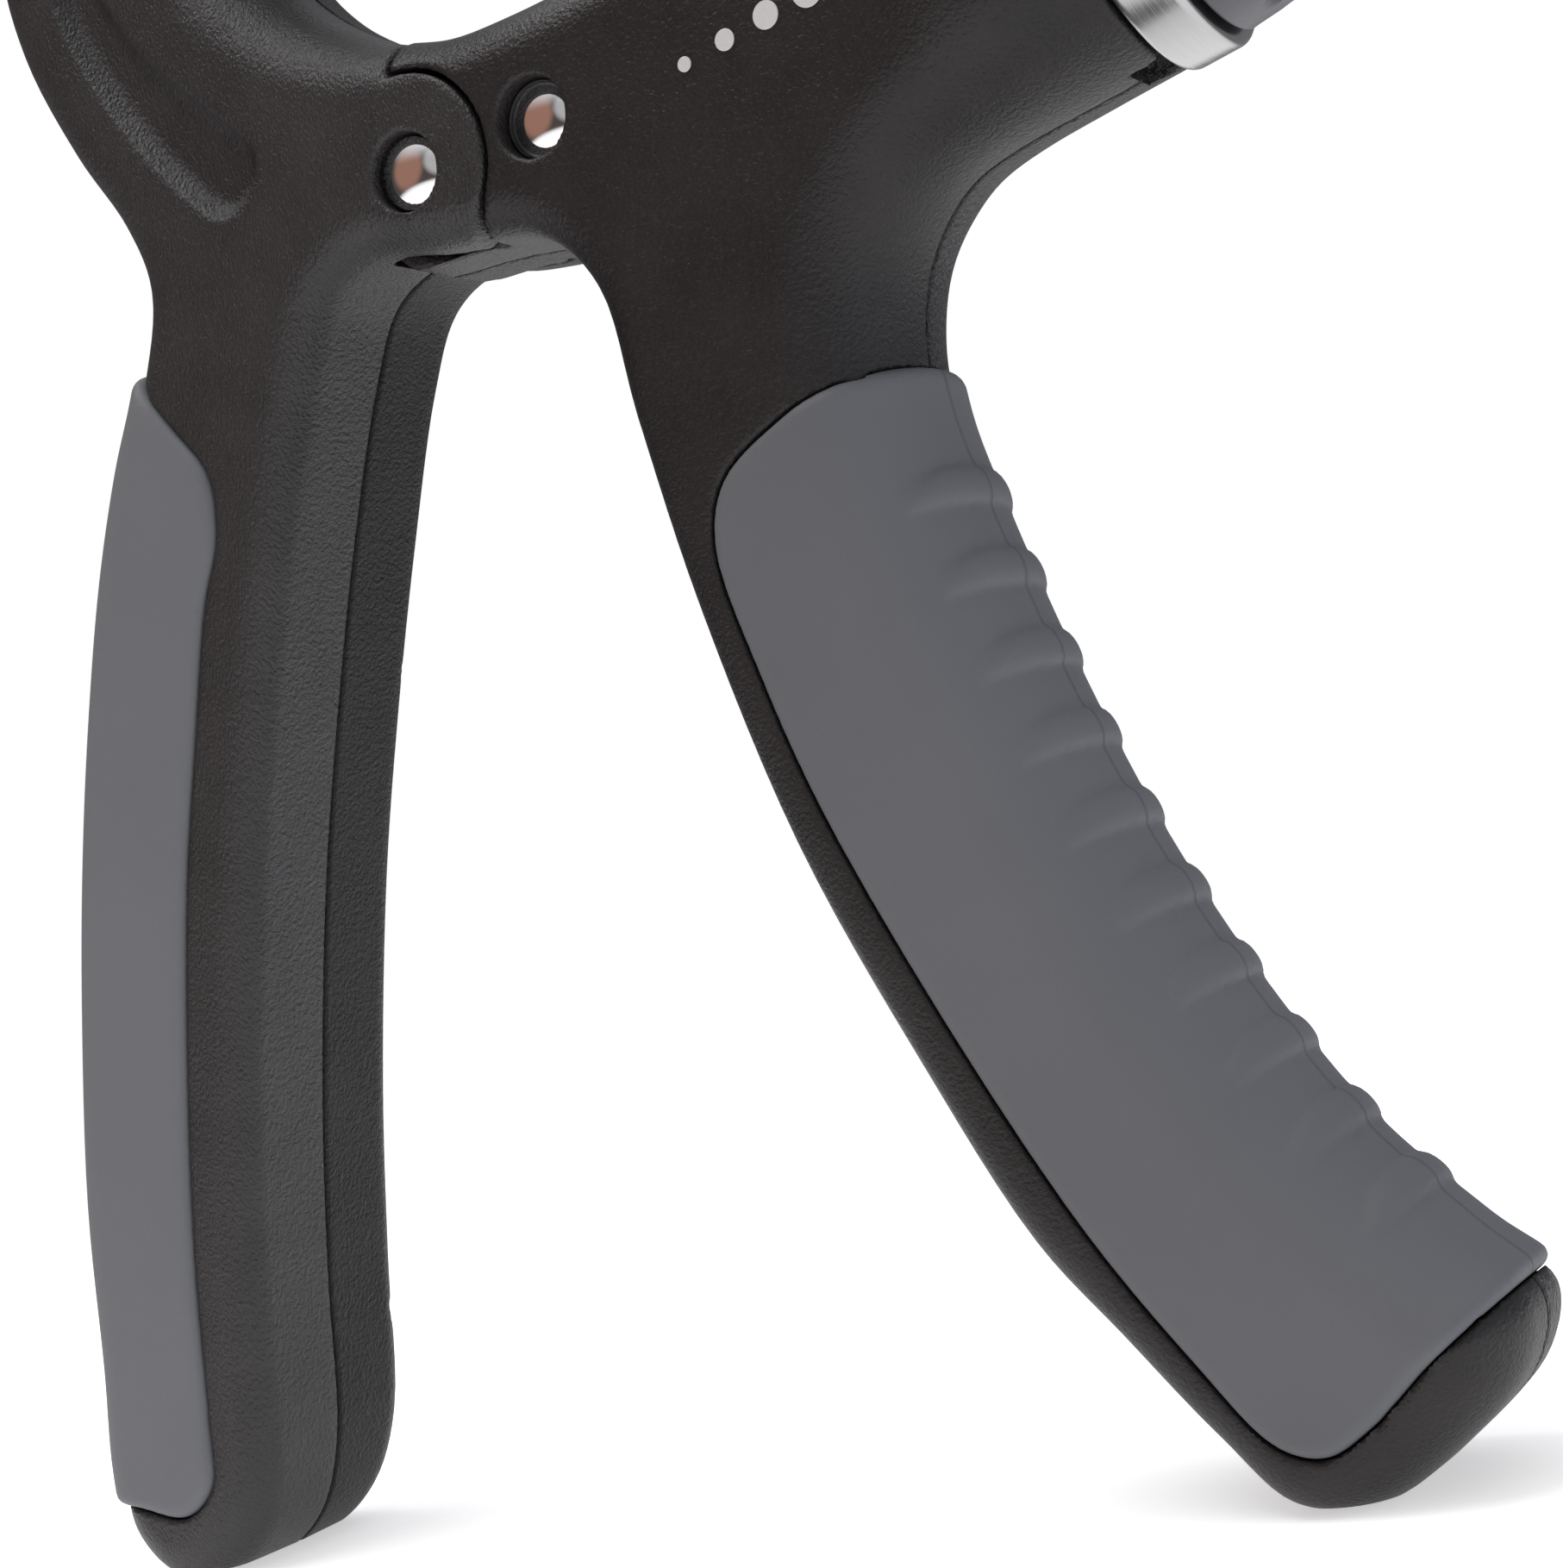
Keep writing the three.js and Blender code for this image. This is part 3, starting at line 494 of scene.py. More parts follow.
def rows_of(count, segments):
    """Vertex indices of that many rings, one after another."""
    return [range(i * segments, (i + 1) * segments) for i in range(count)]


def ring_faces(rings):
    """Faces between each ring of vertex indices and the next; a ring can be one point, repeated."""
    faces = []
    for low, high in zip(rings, rings[1:]):
        for k in range(len(low)):
            m = (k + 1) % len(low)
            faces.append(list(dict.fromkeys([low[k], low[m], high[m], high[k]])))
    return faces


def end_faces(rings):
    """The flat faces that close the first and the last ring."""
    return [list(rings[0])[::-1], list(rings[-1])]


def lathe(profile, segments=64):
    """Vertices and faces of a solid of revolution about Z. The profile is (radius, z) and has the solid on
    its left."""
    vertices, rings = [], []
    for radius, z in profile:
        if radius == 0:
            rings.append([len(vertices)] * segments)
            vertices.append((0, 0, z))
        else:
            rings.append(list(range(len(vertices), len(vertices) + segments)))
            vertices += [(radius * math.cos(a), radius * math.sin(a), z) for a in angles_round(segments)]
    if profile[0][0] > 0:
        rings.append(rings[0])
    return np.array(vertices, float), ring_faces(rings)


def arc(centre, radius, start, end, steps):
    """Points (r, z) of an arc, with its angles in degrees."""
    return [
        (centre[0] + radius * math.cos(math.radians(a)), centre[1] + radius * math.sin(math.radians(a)))
        for a in np.linspace(start, end, steps)
    ]


def sweep(path, radius):
    """A round wire along a path, with flat ends."""
    sides = 14
    path = np.array(path, float)
    tangents = np.gradient(path, axis=0)
    tangents /= np.linalg.norm(tangents, axis=1)[:, None]
    normal = np.cross(tangents[0], (0.3, 0.9, 0.2))
    vertices = []
    for point, tangent in zip(path, tangents):
        normal = normal - tangent * np.dot(normal, tangent)
        normal /= np.linalg.norm(normal)
        side = np.cross(tangent, normal)
        vertices += [
            point + radius * (math.cos(a) * normal + math.sin(a) * side) for a in angles_round(sides)
        ]
    rings = rows_of(len(path), sides)
    return np.array(vertices), ring_faces(rings) + end_faces(rings)


def box_mesh(low, high, bevel):
    """A box with rounded edges."""
    shape = bmesh.new()
    bmesh.ops.create_cube(shape, size=1)
    for vertex in shape.verts:
        vertex.co = [low[i] + (vertex.co[i] + 0.5) * (high[i] - low[i]) for i in range(3)]
    bmesh.ops.bevel(shape, geom=list(shape.edges), offset=bevel, segments=3, profile=0.5,
                    affect="EDGES", clamp_overlap=True)
    shape.verts.index_update()
    vertices = np.array([vertex.co[:] for vertex in shape.verts])
    faces = [[vertex.index for vertex in face.verts] for face in shape.faces]
    shape.free()
    return vertices, faces


def joined(*parts):
    """Several closed shapes of one piece, as one mesh."""
    vertices, faces, start = [], [], 0
    for part_vertices, part_faces in parts:
        vertices.append(part_vertices)
        faces += [[start + i for i in face] for face in part_faces]
        start += len(part_vertices)
    return np.concatenate(vertices), faces


def placed(matrix, part):
    """A shape moved by a matrix, in mm."""
    vertices, faces = part
    matrix = np.array(matrix)
    return vertices @ matrix[:3, :3].T + matrix[:3, 3], faces


# -------------------------------- pieces
def with_axes(x, y, z):
    """The placement at the origin that has these local axes."""
    return Matrix((x, y, z)).transposed().to_4x4()


ARM_SIDE = Vector((-ARM_AXIS.z, 0, ARM_AXIS.x))
ARM_FRAME = Matrix.Translation(ARM_ORIGIN) @ with_axes(ARM_SIDE, ARM_AXIS.cross(ARM_SIDE), ARM_AXIS)
THROUGH = Matrix.Rotation(math.radians(90), 4, "X")  # local Z points to the front, -Y


def across(x, z):
    """Placement of a turned piece whose axis runs through the object: local Z towards the front."""
    return Matrix.Translation((x, 0, z)) @ THROUGH


def add_piece(name, shape, body, slot, matrix=None, material=None, replaced=None, sharp=38):
    """A piece on a body, from a shape in mm: from the pivot, or in the local frame of the matrix. Unless told
    otherwise it has its slot's usual material and replaces the CAD node of its own name."""
    replaced = [name.lower()] if replaced is None else replaced
    vertices, faces = shape
    mesh = bpy.data.meshes.new(name)
    vertices = np.asarray(vertices, float) * MM
    mesh.from_pydata(vertices.tolist(), [], faces.tolist() if isinstance(faces, np.ndarray) else faces)
    mesh.validate()
    mesh.shade_smooth()
    mesh.set_sharp_from_angle(angle=math.radians(sharp))
    mesh.materials.append(material or MATERIALS[slot])
    piece = bpy.data.objects.new(name, mesh)
    bpy.context.scene.collection.objects.link(piece)
    local = matrix.copy() if matrix else Matrix.Identity(4)
    local.translation = local.translation * MM
    piece.matrix_world = Matrix.Translation(PIVOT) @ local
    if body:
        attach(piece, body)
    if replaced:
        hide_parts(*replaced)
    return piece


# -------------------------------- materials
class Nodes:
    """The nodes of a material or a world, with short ways to add and join them."""

    def __init__(self, owner):
        owner.use_nodes = True
        self.nodes, self.links = owner.node_tree.nodes, owner.node_tree.links

    def add(self, kind, **values):
        node = self.nodes.new(kind)
        for key, value in values.items():
            setattr(node, key, value)
        return node

    def ease(self, value, start, end):
        """From 0 to 1, smoothly, as a value goes from start to end."""
        node = self.add("ShaderNodeMapRange", interpolation_type="SMOOTHSTEP")
        node.inputs["From Min"].default_value = start
        node.inputs["From Max"].default_value = end
        self.links.new(value, node.inputs["Value"])
        return node.outputs["Result"]

    def mixed(self, factor, first, second):
        """A mix of two shaders."""
        node = self.add("ShaderNodeMixShader")
        for socket, output in zip(node.inputs, (factor, first, second)):
            self.links.new(output, socket)
        return node.outputs[0]


class Tree(Nodes):
    """A new material."""

    def __init__(self, name):
        self.material = bpy.data.materials.new(name)
        super().__init__(self.material)
        self.shader = self.nodes["Principled BSDF"]
        self.place = self.add("ShaderNodeTexCoord").outputs["Object"]

    def texture(self, kind, stretch, **inputs):
        """A texture whose features are longer along the axes with a small stretch."""
        mapping = self.add("ShaderNodeMapping")
        mapping.inputs["Scale"].default_value = stretch
        node = self.add(kind)
        for key, value in inputs.items():
            node.inputs[key].default_value = value
        self.links.new(self.place, mapping.inputs["Vector"])
        self.links.new(mapping.outputs["Vector"], node.inputs["Vector"])
        return node

    def noise(self, scale, detail=2.0, roughness=0.5, stretch=(1, 1, 1)):
        """Noise with its features about 1/scale metres apart."""
        node = self.texture("ShaderNodeTexNoise", stretch, Scale=scale, Detail=detail, Roughness=roughness)
        return node.outputs["Fac"]

    def cells(self, scale, stretch):
        """Distance to the nearest of scattered points about 1/scale metres apart."""
        return self.texture("ShaderNodeTexVoronoi", stretch, Scale=scale).outputs["Distance"]

    def from_middle(self, width):
        """0 on the plane where the two mould halves meet, and 1 that far from it, in mm, either way."""
        parts = self.add("ShaderNodeSeparateXYZ")
        self.links.new(self.place, parts.inputs[0])
        size = self.add("ShaderNodeMath", operation="ABSOLUTE")
        self.links.new(parts.outputs["Y"], size.inputs[0])
        return self.ease(size.outputs[0], 0, width * MM)

    def ramp(self, value, *stops):
        """A colour that goes with a value: the two stops are (value, colour)."""
        node = self.add("ShaderNodeValToRGB")
        for element, (position, colour) in zip(node.color_ramp.elements, stops):
            element.position = position
            element.color = (*colour, 1)
        self.links.new(value, node.inputs["Fac"])
        return node.outputs["Color"]

    def span(self, value, low, high):
        """A value between 0 and 1 turned into one between low and high."""
        node = self.add("ShaderNodeMapRange")
        node.inputs["To Min"].default_value = low
        node.inputs["To Max"].default_value = high
        self.links.new(value, node.inputs["Value"])
        return node.outputs["Result"]

    def bump(self, height, distance, after=None):
        """A bump of that height in mm, on top of an earlier one."""
        node = self.add("ShaderNodeBump")
        node.inputs["Strength"].default_value = 1.0
        node.inputs["Distance"].default_value = distance * MM
        self.links.new(height, node.inputs["Height"])
        if after:
            self.links.new(after, node.inputs["Normal"])
        return node.outputs["Normal"]

    def set(self, **inputs):
        """Shader inputs by name, with _ for a space; each is a value or a node's output."""
        for name, value in inputs.items():
            socket = self.shader.inputs[name.replace("_", " ")]
            if isinstance(value, bpy.types.NodeSocket):
                self.links.new(value, socket)
            elif isinstance(value, tuple):
                socket.default_value = (*value, 1)
            else:
                socket.default_value = value
        return self.material


def moulded_plastic(name, colour, stretch, grain_height, shine):
    """Charcoal plastic with a spark-eroded grain: fine pits over shallow, uneven pebbles."""
    tree = Tree(name)
    pits = tree.noise(3300, detail=2, roughness=0.6, stretch=stretch)
    pebbles = tree.cells(2100, stretch)
    blotches = tree.noise(160, detail=3)
    light = tuple(1.25 * c for c in colour)
    dark = tuple(0.78 * c for c in colour)
    coarse = tree.bump(pebbles, 0.3 * grain_height)
    return tree.set(
        Base_Color=tree.ramp(blotches, (0.3, dark), (0.7, light)),
        Roughness=tree.span(pits, 0.30, 0.56),
        Specular_IOR_Level=shine,
        Normal=tree.bump(pits, grain_height, after=coarse),
    )


def soft_rubber(name, colour):
    """Fine-grained rubber with a slight moulding seam along its middle."""
    tree = Tree(name)
    grain = tree.noise(3800, detail=2)
    patches = tree.noise(60, detail=3)
    middle = tree.from_middle(0.28)
    return tree.set(
        Base_Color=tree.ramp(patches, (0.3, colour), (0.7, tuple(1.07 * c for c in colour))),
        Roughness=tree.span(grain, 0.56, 0.70),
        Specular_IOR_Level=0.4,
        Normal=tree.bump(middle, 0.25, after=tree.bump(grain, 0.025)),
    )


def polished_metal(name, colour, roughness=0.06, wear=0.03):
    """Bright metal; wear is how much its roughness varies."""
    tree = Tree(name)
    marks = tree.noise(900, detail=4)
    return tree.set(
        Base_Color=tree.ramp(marks, (0.2, tuple(0.96 * c for c in colour)), (0.8, colour)),
        Metallic=1.0,
        Roughness=tree.span(marks, roughness, roughness + wear),
    )


def brushed_metal(name, colour, stretch, roughness):
    """Fine lines that run where the stretch is small."""
    tree = Tree(name)
    lines = tree.noise(9000, detail=3, stretch=stretch)
    return tree.set(
        Base_Color=tree.ramp(lines, (0.25, tuple(0.9 * c for c in colour)), (0.75, colour)),
        Metallic=1.0,
        Roughness=tree.span(lines, roughness - 0.06, roughness + 0.1),
        Normal=tree.bump(lines, 0.01),
    )


def plain_plastic(name, colour, roughness, grain=0.02):
    tree = Tree(name)
    speckle = tree.noise(2600, detail=2)
    return tree.set(
        Base_Color=tree.ramp(speckle, (0.3, tuple(0.95 * c for c in colour)), (0.7, colour)),
        Roughness=tree.span(speckle, roughness - 0.06, roughness + 0.06),
        Normal=tree.bump(speckle, grain),
    )


TURNED = (0.02, 0.02, 1)  # lines round local Z
ACROSS_GRAIN = (1.5, 0.8, 0.8)
PLASTICS = {
    "Lever_front_shell": moulded_plastic("lever plastic", (0.018, 0.0163, 0.0168), ACROSS_GRAIN, 0.20, 0.5),
    # The lever's rear shell is the lever's plastic made darker and less shiny: painted shade on the rear half
    # of its sides.
    "Lever_rear_shell": moulded_plastic(
        "lever rear plastic painted darker as shade", (0.0115, 0.0111, 0.0117), ACROSS_GRAIN, 0.20, 0.19),
    "Frame_front_shell": moulded_plastic("frame plastic", (0.0125, 0.0108, 0.011), (1, 1, 1), 0.12, 0.32),
    "Frame_rear_shell": moulded_plastic(
        "frame rear plastic", (0.015, 0.0145, 0.015), (1, 1, 0.6), 0.37, 0.35),
}
LEVER_RUBBER = soft_rubber("lever rubber", (0.136, 0.142, 0.153))
# The frame's grip rubber is the lever's rubber made darker: painted shade on the frame's grip.
SHADED_FRAME_RUBBER = soft_rubber("frame rubber painted darker as shade", (0.112, 0.117, 0.127))
RIVET_SEAT = plain_plastic("rivet seat", (0.045, 0.045, 0.048), 0.4)
MATERIALS = {
    "rivet_chrome": polished_metal("rivet chrome", (0.80, 0.80, 0.80)),
    "spring_steel": polished_metal("spring wire", (0.62, 0.62, 0.64), 0.12, 0.08),
    "ring_metal": brushed_metal("turned aluminium", (0.44, 0.44, 0.435), TURNED, 0.2),
    "bright_steel": brushed_metal("bright steel", (0.60, 0.60, 0.61), TURNED, 0.22),
    "dark_steel": plain_plastic("blackened steel", (0.05, 0.05, 0.055), 0.42, 0.008),
    "nut_brass": brushed_metal("machined brass", (0.70, 0.52, 0.25), (1, 1, 0.05), 0.25),
    "bearing_nylon": plain_plastic("natural nylon", (0.68, 0.66, 0.60), 0.5),
    "knob_plastic": plain_plastic("knob plastic", (0.066, 0.068, 0.076), 0.46),
    "scale_print": plain_plastic("scale print", (0.60, 0.60, 0.60), 0.5),
}


# -------------------------------- the moulded pieces
MOULDED_SHARP = 60  # degrees between faces from which an edge shows


def flat_fields(box, outline, region):
    """A grid over a box, and on it the outline's distance and edge width and the region's distance."""
    grid = Grid(*box, SHELL_PITCH)
    distance, edge = loop_distance(grid, smooth_loop(outline))
    return grid, distance, edge, loop_distance(grid, smooth_loop(region))[0]


def build_handle(name, outline, region, shape, screws, rubber, shell_box, grip_box, ribs=None):
    """A handle's two half shells and its rubber grip; the boxes are what their grids cover."""
    grid, distance, edge, room = flat_fields(shell_box, outline, region)
    body = under_rubber(grid, shape(grid, distance, edge), distance, room)
    add_shells(name, grid, body, screws)
    grid, distance, edge, room = flat_fields(grip_box, outline, region)
    grip = field_mesh(grid, rubber_grip(grid, distance, edge, room, ribs))
    add_piece(f"{name.capitalize()}_grip", grip, name, "grip_rubber", material=rubber, sharp=MOULDED_SHARP)


def build_handles():
    build_handle(
        "lever", LEVER_OUTLINE, LEVER_GRIP_REGION, lever_body, LEVER_SCREWS, LEVER_RUBBER,
        ((-60.7, 0, -115.6), (9.3, 12.4, 55.6)), ((-62.3, -12.7, -111), (-24, 12.7, -2)),
    )
    build_handle(
        "frame", FRAME_OUTLINE, FRAME_GRIP_REGION, frame_body, FRAME_SCREWS, SHADED_FRAME_RUBBER,
        ((-11.3, 0, -115.6), (75, 14.7, 21)), ((21, -12.7, -112), (75.4, 12.7, -21)),
        rib_places(smooth_loop(FRAME_OUTLINE)),
    )


def add_shells(body_name, grid, body, screws):
    """The front and rear halves of a body; the screws go in from the back."""
    pilots = body
    for place in screws:
        pilots = cut(pilots, disc(grid, place, SHELL_SCREW_HOLE_R), grid.y - SHELL_PILOT_Y)
    halves = {
        "front": field_mesh(grid, half_shell(grid, pilots), mirrored=True),
        "rear": field_mesh(grid, with_screw_holes(grid, half_shell(grid, body), screws)),
    }
    for side, shape in halves.items():
        name = f"{body_name.capitalize()}_{side}_shell"
        add_piece(name, shape, body_name, "body_plastic", material=PLASTICS[name], sharp=MOULDED_SHARP)


# -------------------------------- rivets, screws and pins
def rivet_profile(head_depth):
    """A domed head and the shank behind it; local Z points to the front."""
    top = HALF_DEPTH - head_depth
    seat = top - RIVET_HEAD_HEIGHT
    dome_r = (RIVET_HEAD_R ** 2 + RIVET_DOME_HEIGHT ** 2) / (2 * RIVET_DOME_HEIGHT)
    half_angle = math.degrees(math.asin(RIVET_HEAD_R / dome_r))
    dome = arc((0, top - dome_r), dome_r, 90 - half_angle, 90, 14)
    dome[-1] = (0, top)
    shank = [(0, 1.5 - seat), (RIVET_SHANK_R - 0.3, 1.5 - seat), (RIVET_SHANK_R, 1.8 - seat)]
    rim = [(RIVET_SHANK_R, seat), (RIVET_HEAD_R - 0.15, seat), (RIVET_HEAD_R, seat + 0.15)]
    return shank + rim + dome


def cap_profile(head_depth):
    """The closing head at the back, as a profile that points to the front."""
    head = rivet_profile(head_depth)[4:]
    seat = HALF_DEPTH - head_depth - RIVET_HEAD_HEIGHT
    return [(r, -z) for r, z in reversed(head)] + [(0, -seat)]


def build_rivets():
    rivets = ("Pivot", (0, 0), PIVOT_HEAD_DEPTH), ("Frame", FRAME_RIVET, FRAME_HEAD_DEPTH)
    for title, place, depth in rivets:
        add_piece(f"{title}_rivet", lathe(rivet_profile(depth)), "frame", "rivet_chrome", across(*place))
        add_piece(f"{title}_rivet_cap", lathe(cap_profile(depth)), "frame", "rivet_chrome", across(*place))


def screw_shape():
    """A pan head with a cross recess, on a threaded shank; local Z points to the head, at the back."""
    head = SHELL_SCREW_HEAD_Y
    profile = [(0, -7), (0.6, -6.6)]
    for i in range(13):
        z = -6.2 + i * 0.9
        profile += [(0.95, z - 0.22), (SHELL_SCREW_R, z), (0.95, z + 0.22)]
    profile += [(SHELL_SCREW_R, head - SHELL_SCREW_HEAD_HEIGHT), (SHELL_SCREW_HEAD_R - 0.1, head - 1.2)]
    profile += [(SHELL_SCREW_HEAD_R, head - 1.05)]
    profile += arc((SHELL_SCREW_HEAD_R - 0.5, head - 0.5), 0.5, 0, 90, 6)
    profile += [(r, head) for r in np.linspace(1.6, 0.1, 16)] + [(0, head)]
    vertices, faces = lathe(profile, 96)
    x, y, z = vertices.T
    arm_one = np.maximum(np.abs(x) - 0.25, np.abs(y) - 1.2)
    arm_two = np.maximum(np.abs(y) - 0.25, np.abs(x) - 1.2)
    recess = np.clip(-np.minimum(arm_one, arm_two) / 0.12, 0, 1)
    vertices[:, 2] = np.where(z > head - 0.01, z - 0.7 * recess, z)
    return vertices, faces


def build_shell_screws():
    for body, places in (("lever", LEVER_SCREWS), ("frame", FRAME_SCREWS)):
        for number, (x, z) in enumerate(places, 1):
            add_piece(f"{body.capitalize()}_screw_{number}", screw_shape(), body, "dark_steel",
                      Matrix.Translation((x, 0, z)) @ THROUGH.inverted())


def pin_shape(radius, half_length):
    """A plain pin with rounded ends, about local Z."""
    edge = 0.4
    profile = [(0, -half_length)] + arc((radius - edge, edge - half_length), edge, -90, 0, 6)
    profile += arc((radius - edge, half_length - edge), edge, 0, 90, 6) + [(0, half_length)]
    return lathe(profile, 48)


def build_pins():
    anchor_pin = pin_shape(ANCHOR_PIN_R, ANCHOR_PIN_REACH)
    add_piece("Spring_anchor_pin", anchor_pin, "lever", "bright_steel", across(*ANCHOR))
    hook_pin = pin_shape(HOOK_PIN_R, HOOK_PIN_REACH)
    add_piece("Nut_hook_pin", hook_pin, "nut", "bright_steel", across(*arm_point(NUT_MIDDLE, NUT_PIN_HEIGHT)))
    bush = [(2.2, -4.6), (2.55, -4.6), (2.8, -4.35), (2.8, 4.35), (2.55, 4.6), (2.2, 4.6)]
    add_piece("Spring_anchor_bush", lathe(bush, 48), "lever", "bearing_nylon", across(*ANCHOR))


# -------------------------------- the spring, in two pieces
SPRING_WIRE_R = 1.1
SPRING_COIL_R = 4.2
SPRING_EYES = (3.95, 2.75)  # radii of their middle lines, at the lever and the nut
SPRING_LEAD = 9.2  # from each eye's middle to the first coil
SPRING_TURNS = 11
STEPS_PER_TURN = 28
SPRING_SPLIT = 0.55  # of the way from the anchor to the nut


def spring_hook(eye_r):
    """An eye about the origin and the bend that leads to the first coil, in (along, side, across)."""
    eye = [
        (-eye_r * math.sin(a - math.pi / 2), 0, -eye_r * math.cos(a - math.pi / 2))
        for a in np.linspace(1.45 * math.pi, 0, 30)
    ]
    start, end = np.array(eye[-1]), np.array([SPRING_LEAD, 0, -SPRING_COIL_R])
    leaving, arriving = start + (0, 0, -3), end + (-0.4, 3, 0)
    bend = [
        (1 - t) ** 3 * start + 3 * t * (1 - t) ** 2 * leaving
        + 3 * t * t * (1 - t) * arriving + t ** 3 * end
        for t in np.linspace(0, 1, 14)[1:-1]
    ]
    return np.concatenate([eye, bend])


def spring_path():
    """The wire's middle line, in (along, side, across) from the anchor: eye, coils, eye."""
    length = math.dist(arm_point(NUT_MIDDLE, NUT_PIN_HEIGHT), ANCHOR)
    turns = np.linspace(0, 2 * math.pi * SPRING_TURNS, SPRING_TURNS * STEPS_PER_TURN + 1)
    along = np.linspace(SPRING_LEAD, length - SPRING_LEAD, len(turns))
    coils = np.stack([along, SPRING_COIL_R * -np.sin(turns), SPRING_COIL_R * -np.cos(turns)], 1)
    at_anchor, at_nut = (spring_hook(eye_r) for eye_r in SPRING_EYES)
    at_nut = at_nut[::-1] * (-1, -1, 1) + (length, 0, 0)
    return np.concatenate([at_anchor, coils, at_nut]), length


def build_spring():
    path, length = spring_path()
    anchor = np.array([ANCHOR[0], 0, ANCHOR[1]])
    pin_x, pin_z = arm_point(NUT_MIDDLE, NUT_PIN_HEIGHT)
    pin = np.array([pin_x, 0, pin_z])
    along = (pin - anchor) / length
    side = np.array([0, 1, 0])
    path = anchor + path @ np.stack([along, side, np.cross(along, side)])
    split = anchor + SPRING_SPLIT * (pin - anchor)
    cut = int(np.argmin(np.linalg.norm(path - split, axis=1)))
    for name, part, body, end in (
        ("Spring_lever_end", path[:cut + 1], "lever", anchor),
        ("Spring_nut_end", path[cut:], "nut", pin),
    ):
        piece = add_piece(name, sweep(part, SPRING_WIRE_R), None, "spring_steel", replaced=["main_spring"])
        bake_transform(piece)


# -------------------------------- pieces along the screw's axis
def tube_profile(inner, outer, low, high, edge=0.25):
    return [(inner, high), (inner, low), (outer - edge, low), (outer, low + edge), (outer, high - edge),
            (outer - edge, high)]


def ring_profile():
    edge = 0.7
    profile = [(8.5, RING_END), (8.5, RING_START)]
    profile += arc((RING_R - edge, RING_START + edge), edge, -90, 0, 8)
    return profile + arc((RING_R - edge, RING_END - edge), edge, 0, 90, 8)


def screw_thread():
    """The adjusting screw: a helical ridge on its shank, about local Z."""
    segments, step = 40, 0.125
    start, thread_start, thread_end, end = 20.3, 25, 51, 78
    threaded = np.arange(thread_start, thread_end, step)
    stations = np.concatenate([[start, start + 0.6], threaded, [thread_end + 0.5, end]])
    angles = angles_round(segments)
    vertices = []
    for i, z in enumerate(stations):
        cut = THREAD_DEPTH * np.clip(min(z - thread_start, thread_end - z) / 1.5, 0, 1)
        phase = (z / THREAD_PITCH - angles / (2 * math.pi)) % 1
        ridge = np.clip(np.abs(phase * 2 - 1) * 2.2 - 0.6, 0, 1)
        radii = SCREW_R - cut * (1 - ridge) - (0.6 if i == 0 else 0)
        vertices += [(r * math.cos(a), r * math.sin(a), z) for r, a in zip(radii, angles)]
    rings = rows_of(len(stations), segments)
    return np.array(vertices, float), ring_faces(rings) + end_faces(rings)


def knob_sleeve():
    """A tapering grip with rounded flutes that run out before a smooth base band; hollow at both ends."""
    segments = FLUTE_COUNT * 14
    angles = angles_round(segments)
    length = KNOB_END - KNOB_START - 0.6
    base = [(KNOB_BORE_R, length - 2.0), (KNOB_BORE_R, 0.0), (KNOB_R - 0.4, 0.0), (KNOB_R - 0.15, 0.06)]
    side = [(KNOB_R, 0.25)] + [(KNOB_R - KNOB_TAPER * z, z) for z in np.linspace(0.6, length - 0.9, 44)]
    top = arc((side[-1][0] - 0.9, length - 0.9), 0.9, 6, 90, 8) + [(11.6, length), (11.6, length - 2.0)]
    profile = base + side + top
    flute = np.clip(np.cos(FLUTE_COUNT * angles) * 1.4 - 0.25, 0, 1)
    vertices = []
    for radius, z in profile:
        run_out = smooth_step(z, 2.6, 4.2) if radius > 11.7 else 0
        radii = radius - FLUTE_DEPTH * run_out * flute
        vertices += [(r * math.cos(a), r * math.sin(a), z) for r, a in zip(radii, angles)]
    rings = rows_of(len(profile), segments)
    return np.array(vertices, float), ring_faces(rings + rings[:1])


def on_arm(along):
    return ARM_FRAME @ Matrix.Translation((0, 0, along))


def build_screw_and_knob():
    bore, thrust = SCREW_R + GAP, RING_END - 0.9
    add_piece("Adjusting_screw", screw_thread(), "knob", "bright_steel", ARM_FRAME)
    add_piece("Knob_sleeve", knob_sleeve(), "knob", "knob_plastic", on_arm(KNOB_START))
    cap = [(0, -2.6), (11.2, -2.6), (11.4, -2.4), (11.4, -0.9), (11.2, -0.45), (10.8, -0.2)]
    cap += [(r, min(z, 0.9)) for r, z in arc((0, -40), 41, 75, 90, 10)[1:-1]] + [(0, 0.9)]
    add_piece("Knob_cap", lathe(cap, 72), "knob", "knob_plastic", on_arm(KNOB_END - 1.0))
    add_piece("Collar_ring", lathe(ring_profile(), 128), "frame", "ring_metal", ARM_FRAME)
    for name, shape, body, slot in (
        ("Screw_end_bushing", tube_profile(bore, BEARING_R, 20, 24.2), "frame", "bearing_nylon"),
        ("Screw_bearing", tube_profile(bore, BEARING_R, 53.8, RING_END - 1.2), "frame", "bearing_nylon"),
        ("Thrust_washer", tube_profile(bore, 7.5, thrust, thrust + 1, 0.15), "knob", "bright_steel"),
        ("Knob_hub", tube_profile(bore, KNOB_BORE_R - GAP, KNOB_START, KNOB_END - 3), "knob", "dark_steel"),
        ("Screw_clip", tube_profile(bore, BEARING_R - 0.1, 52.5, 53.3, 0.15), "knob", "dark_steel"),
    ):
        add_piece(name, lathe(shape), body, slot, ARM_FRAME)
    cross_pin = box_mesh((-8.8, -0.9, 71.6), (8.8, 0.9, 73.4), 0.25)
    add_piece("Knob_cross_pin", cross_pin, "knob", "bright_steel", ARM_FRAME)


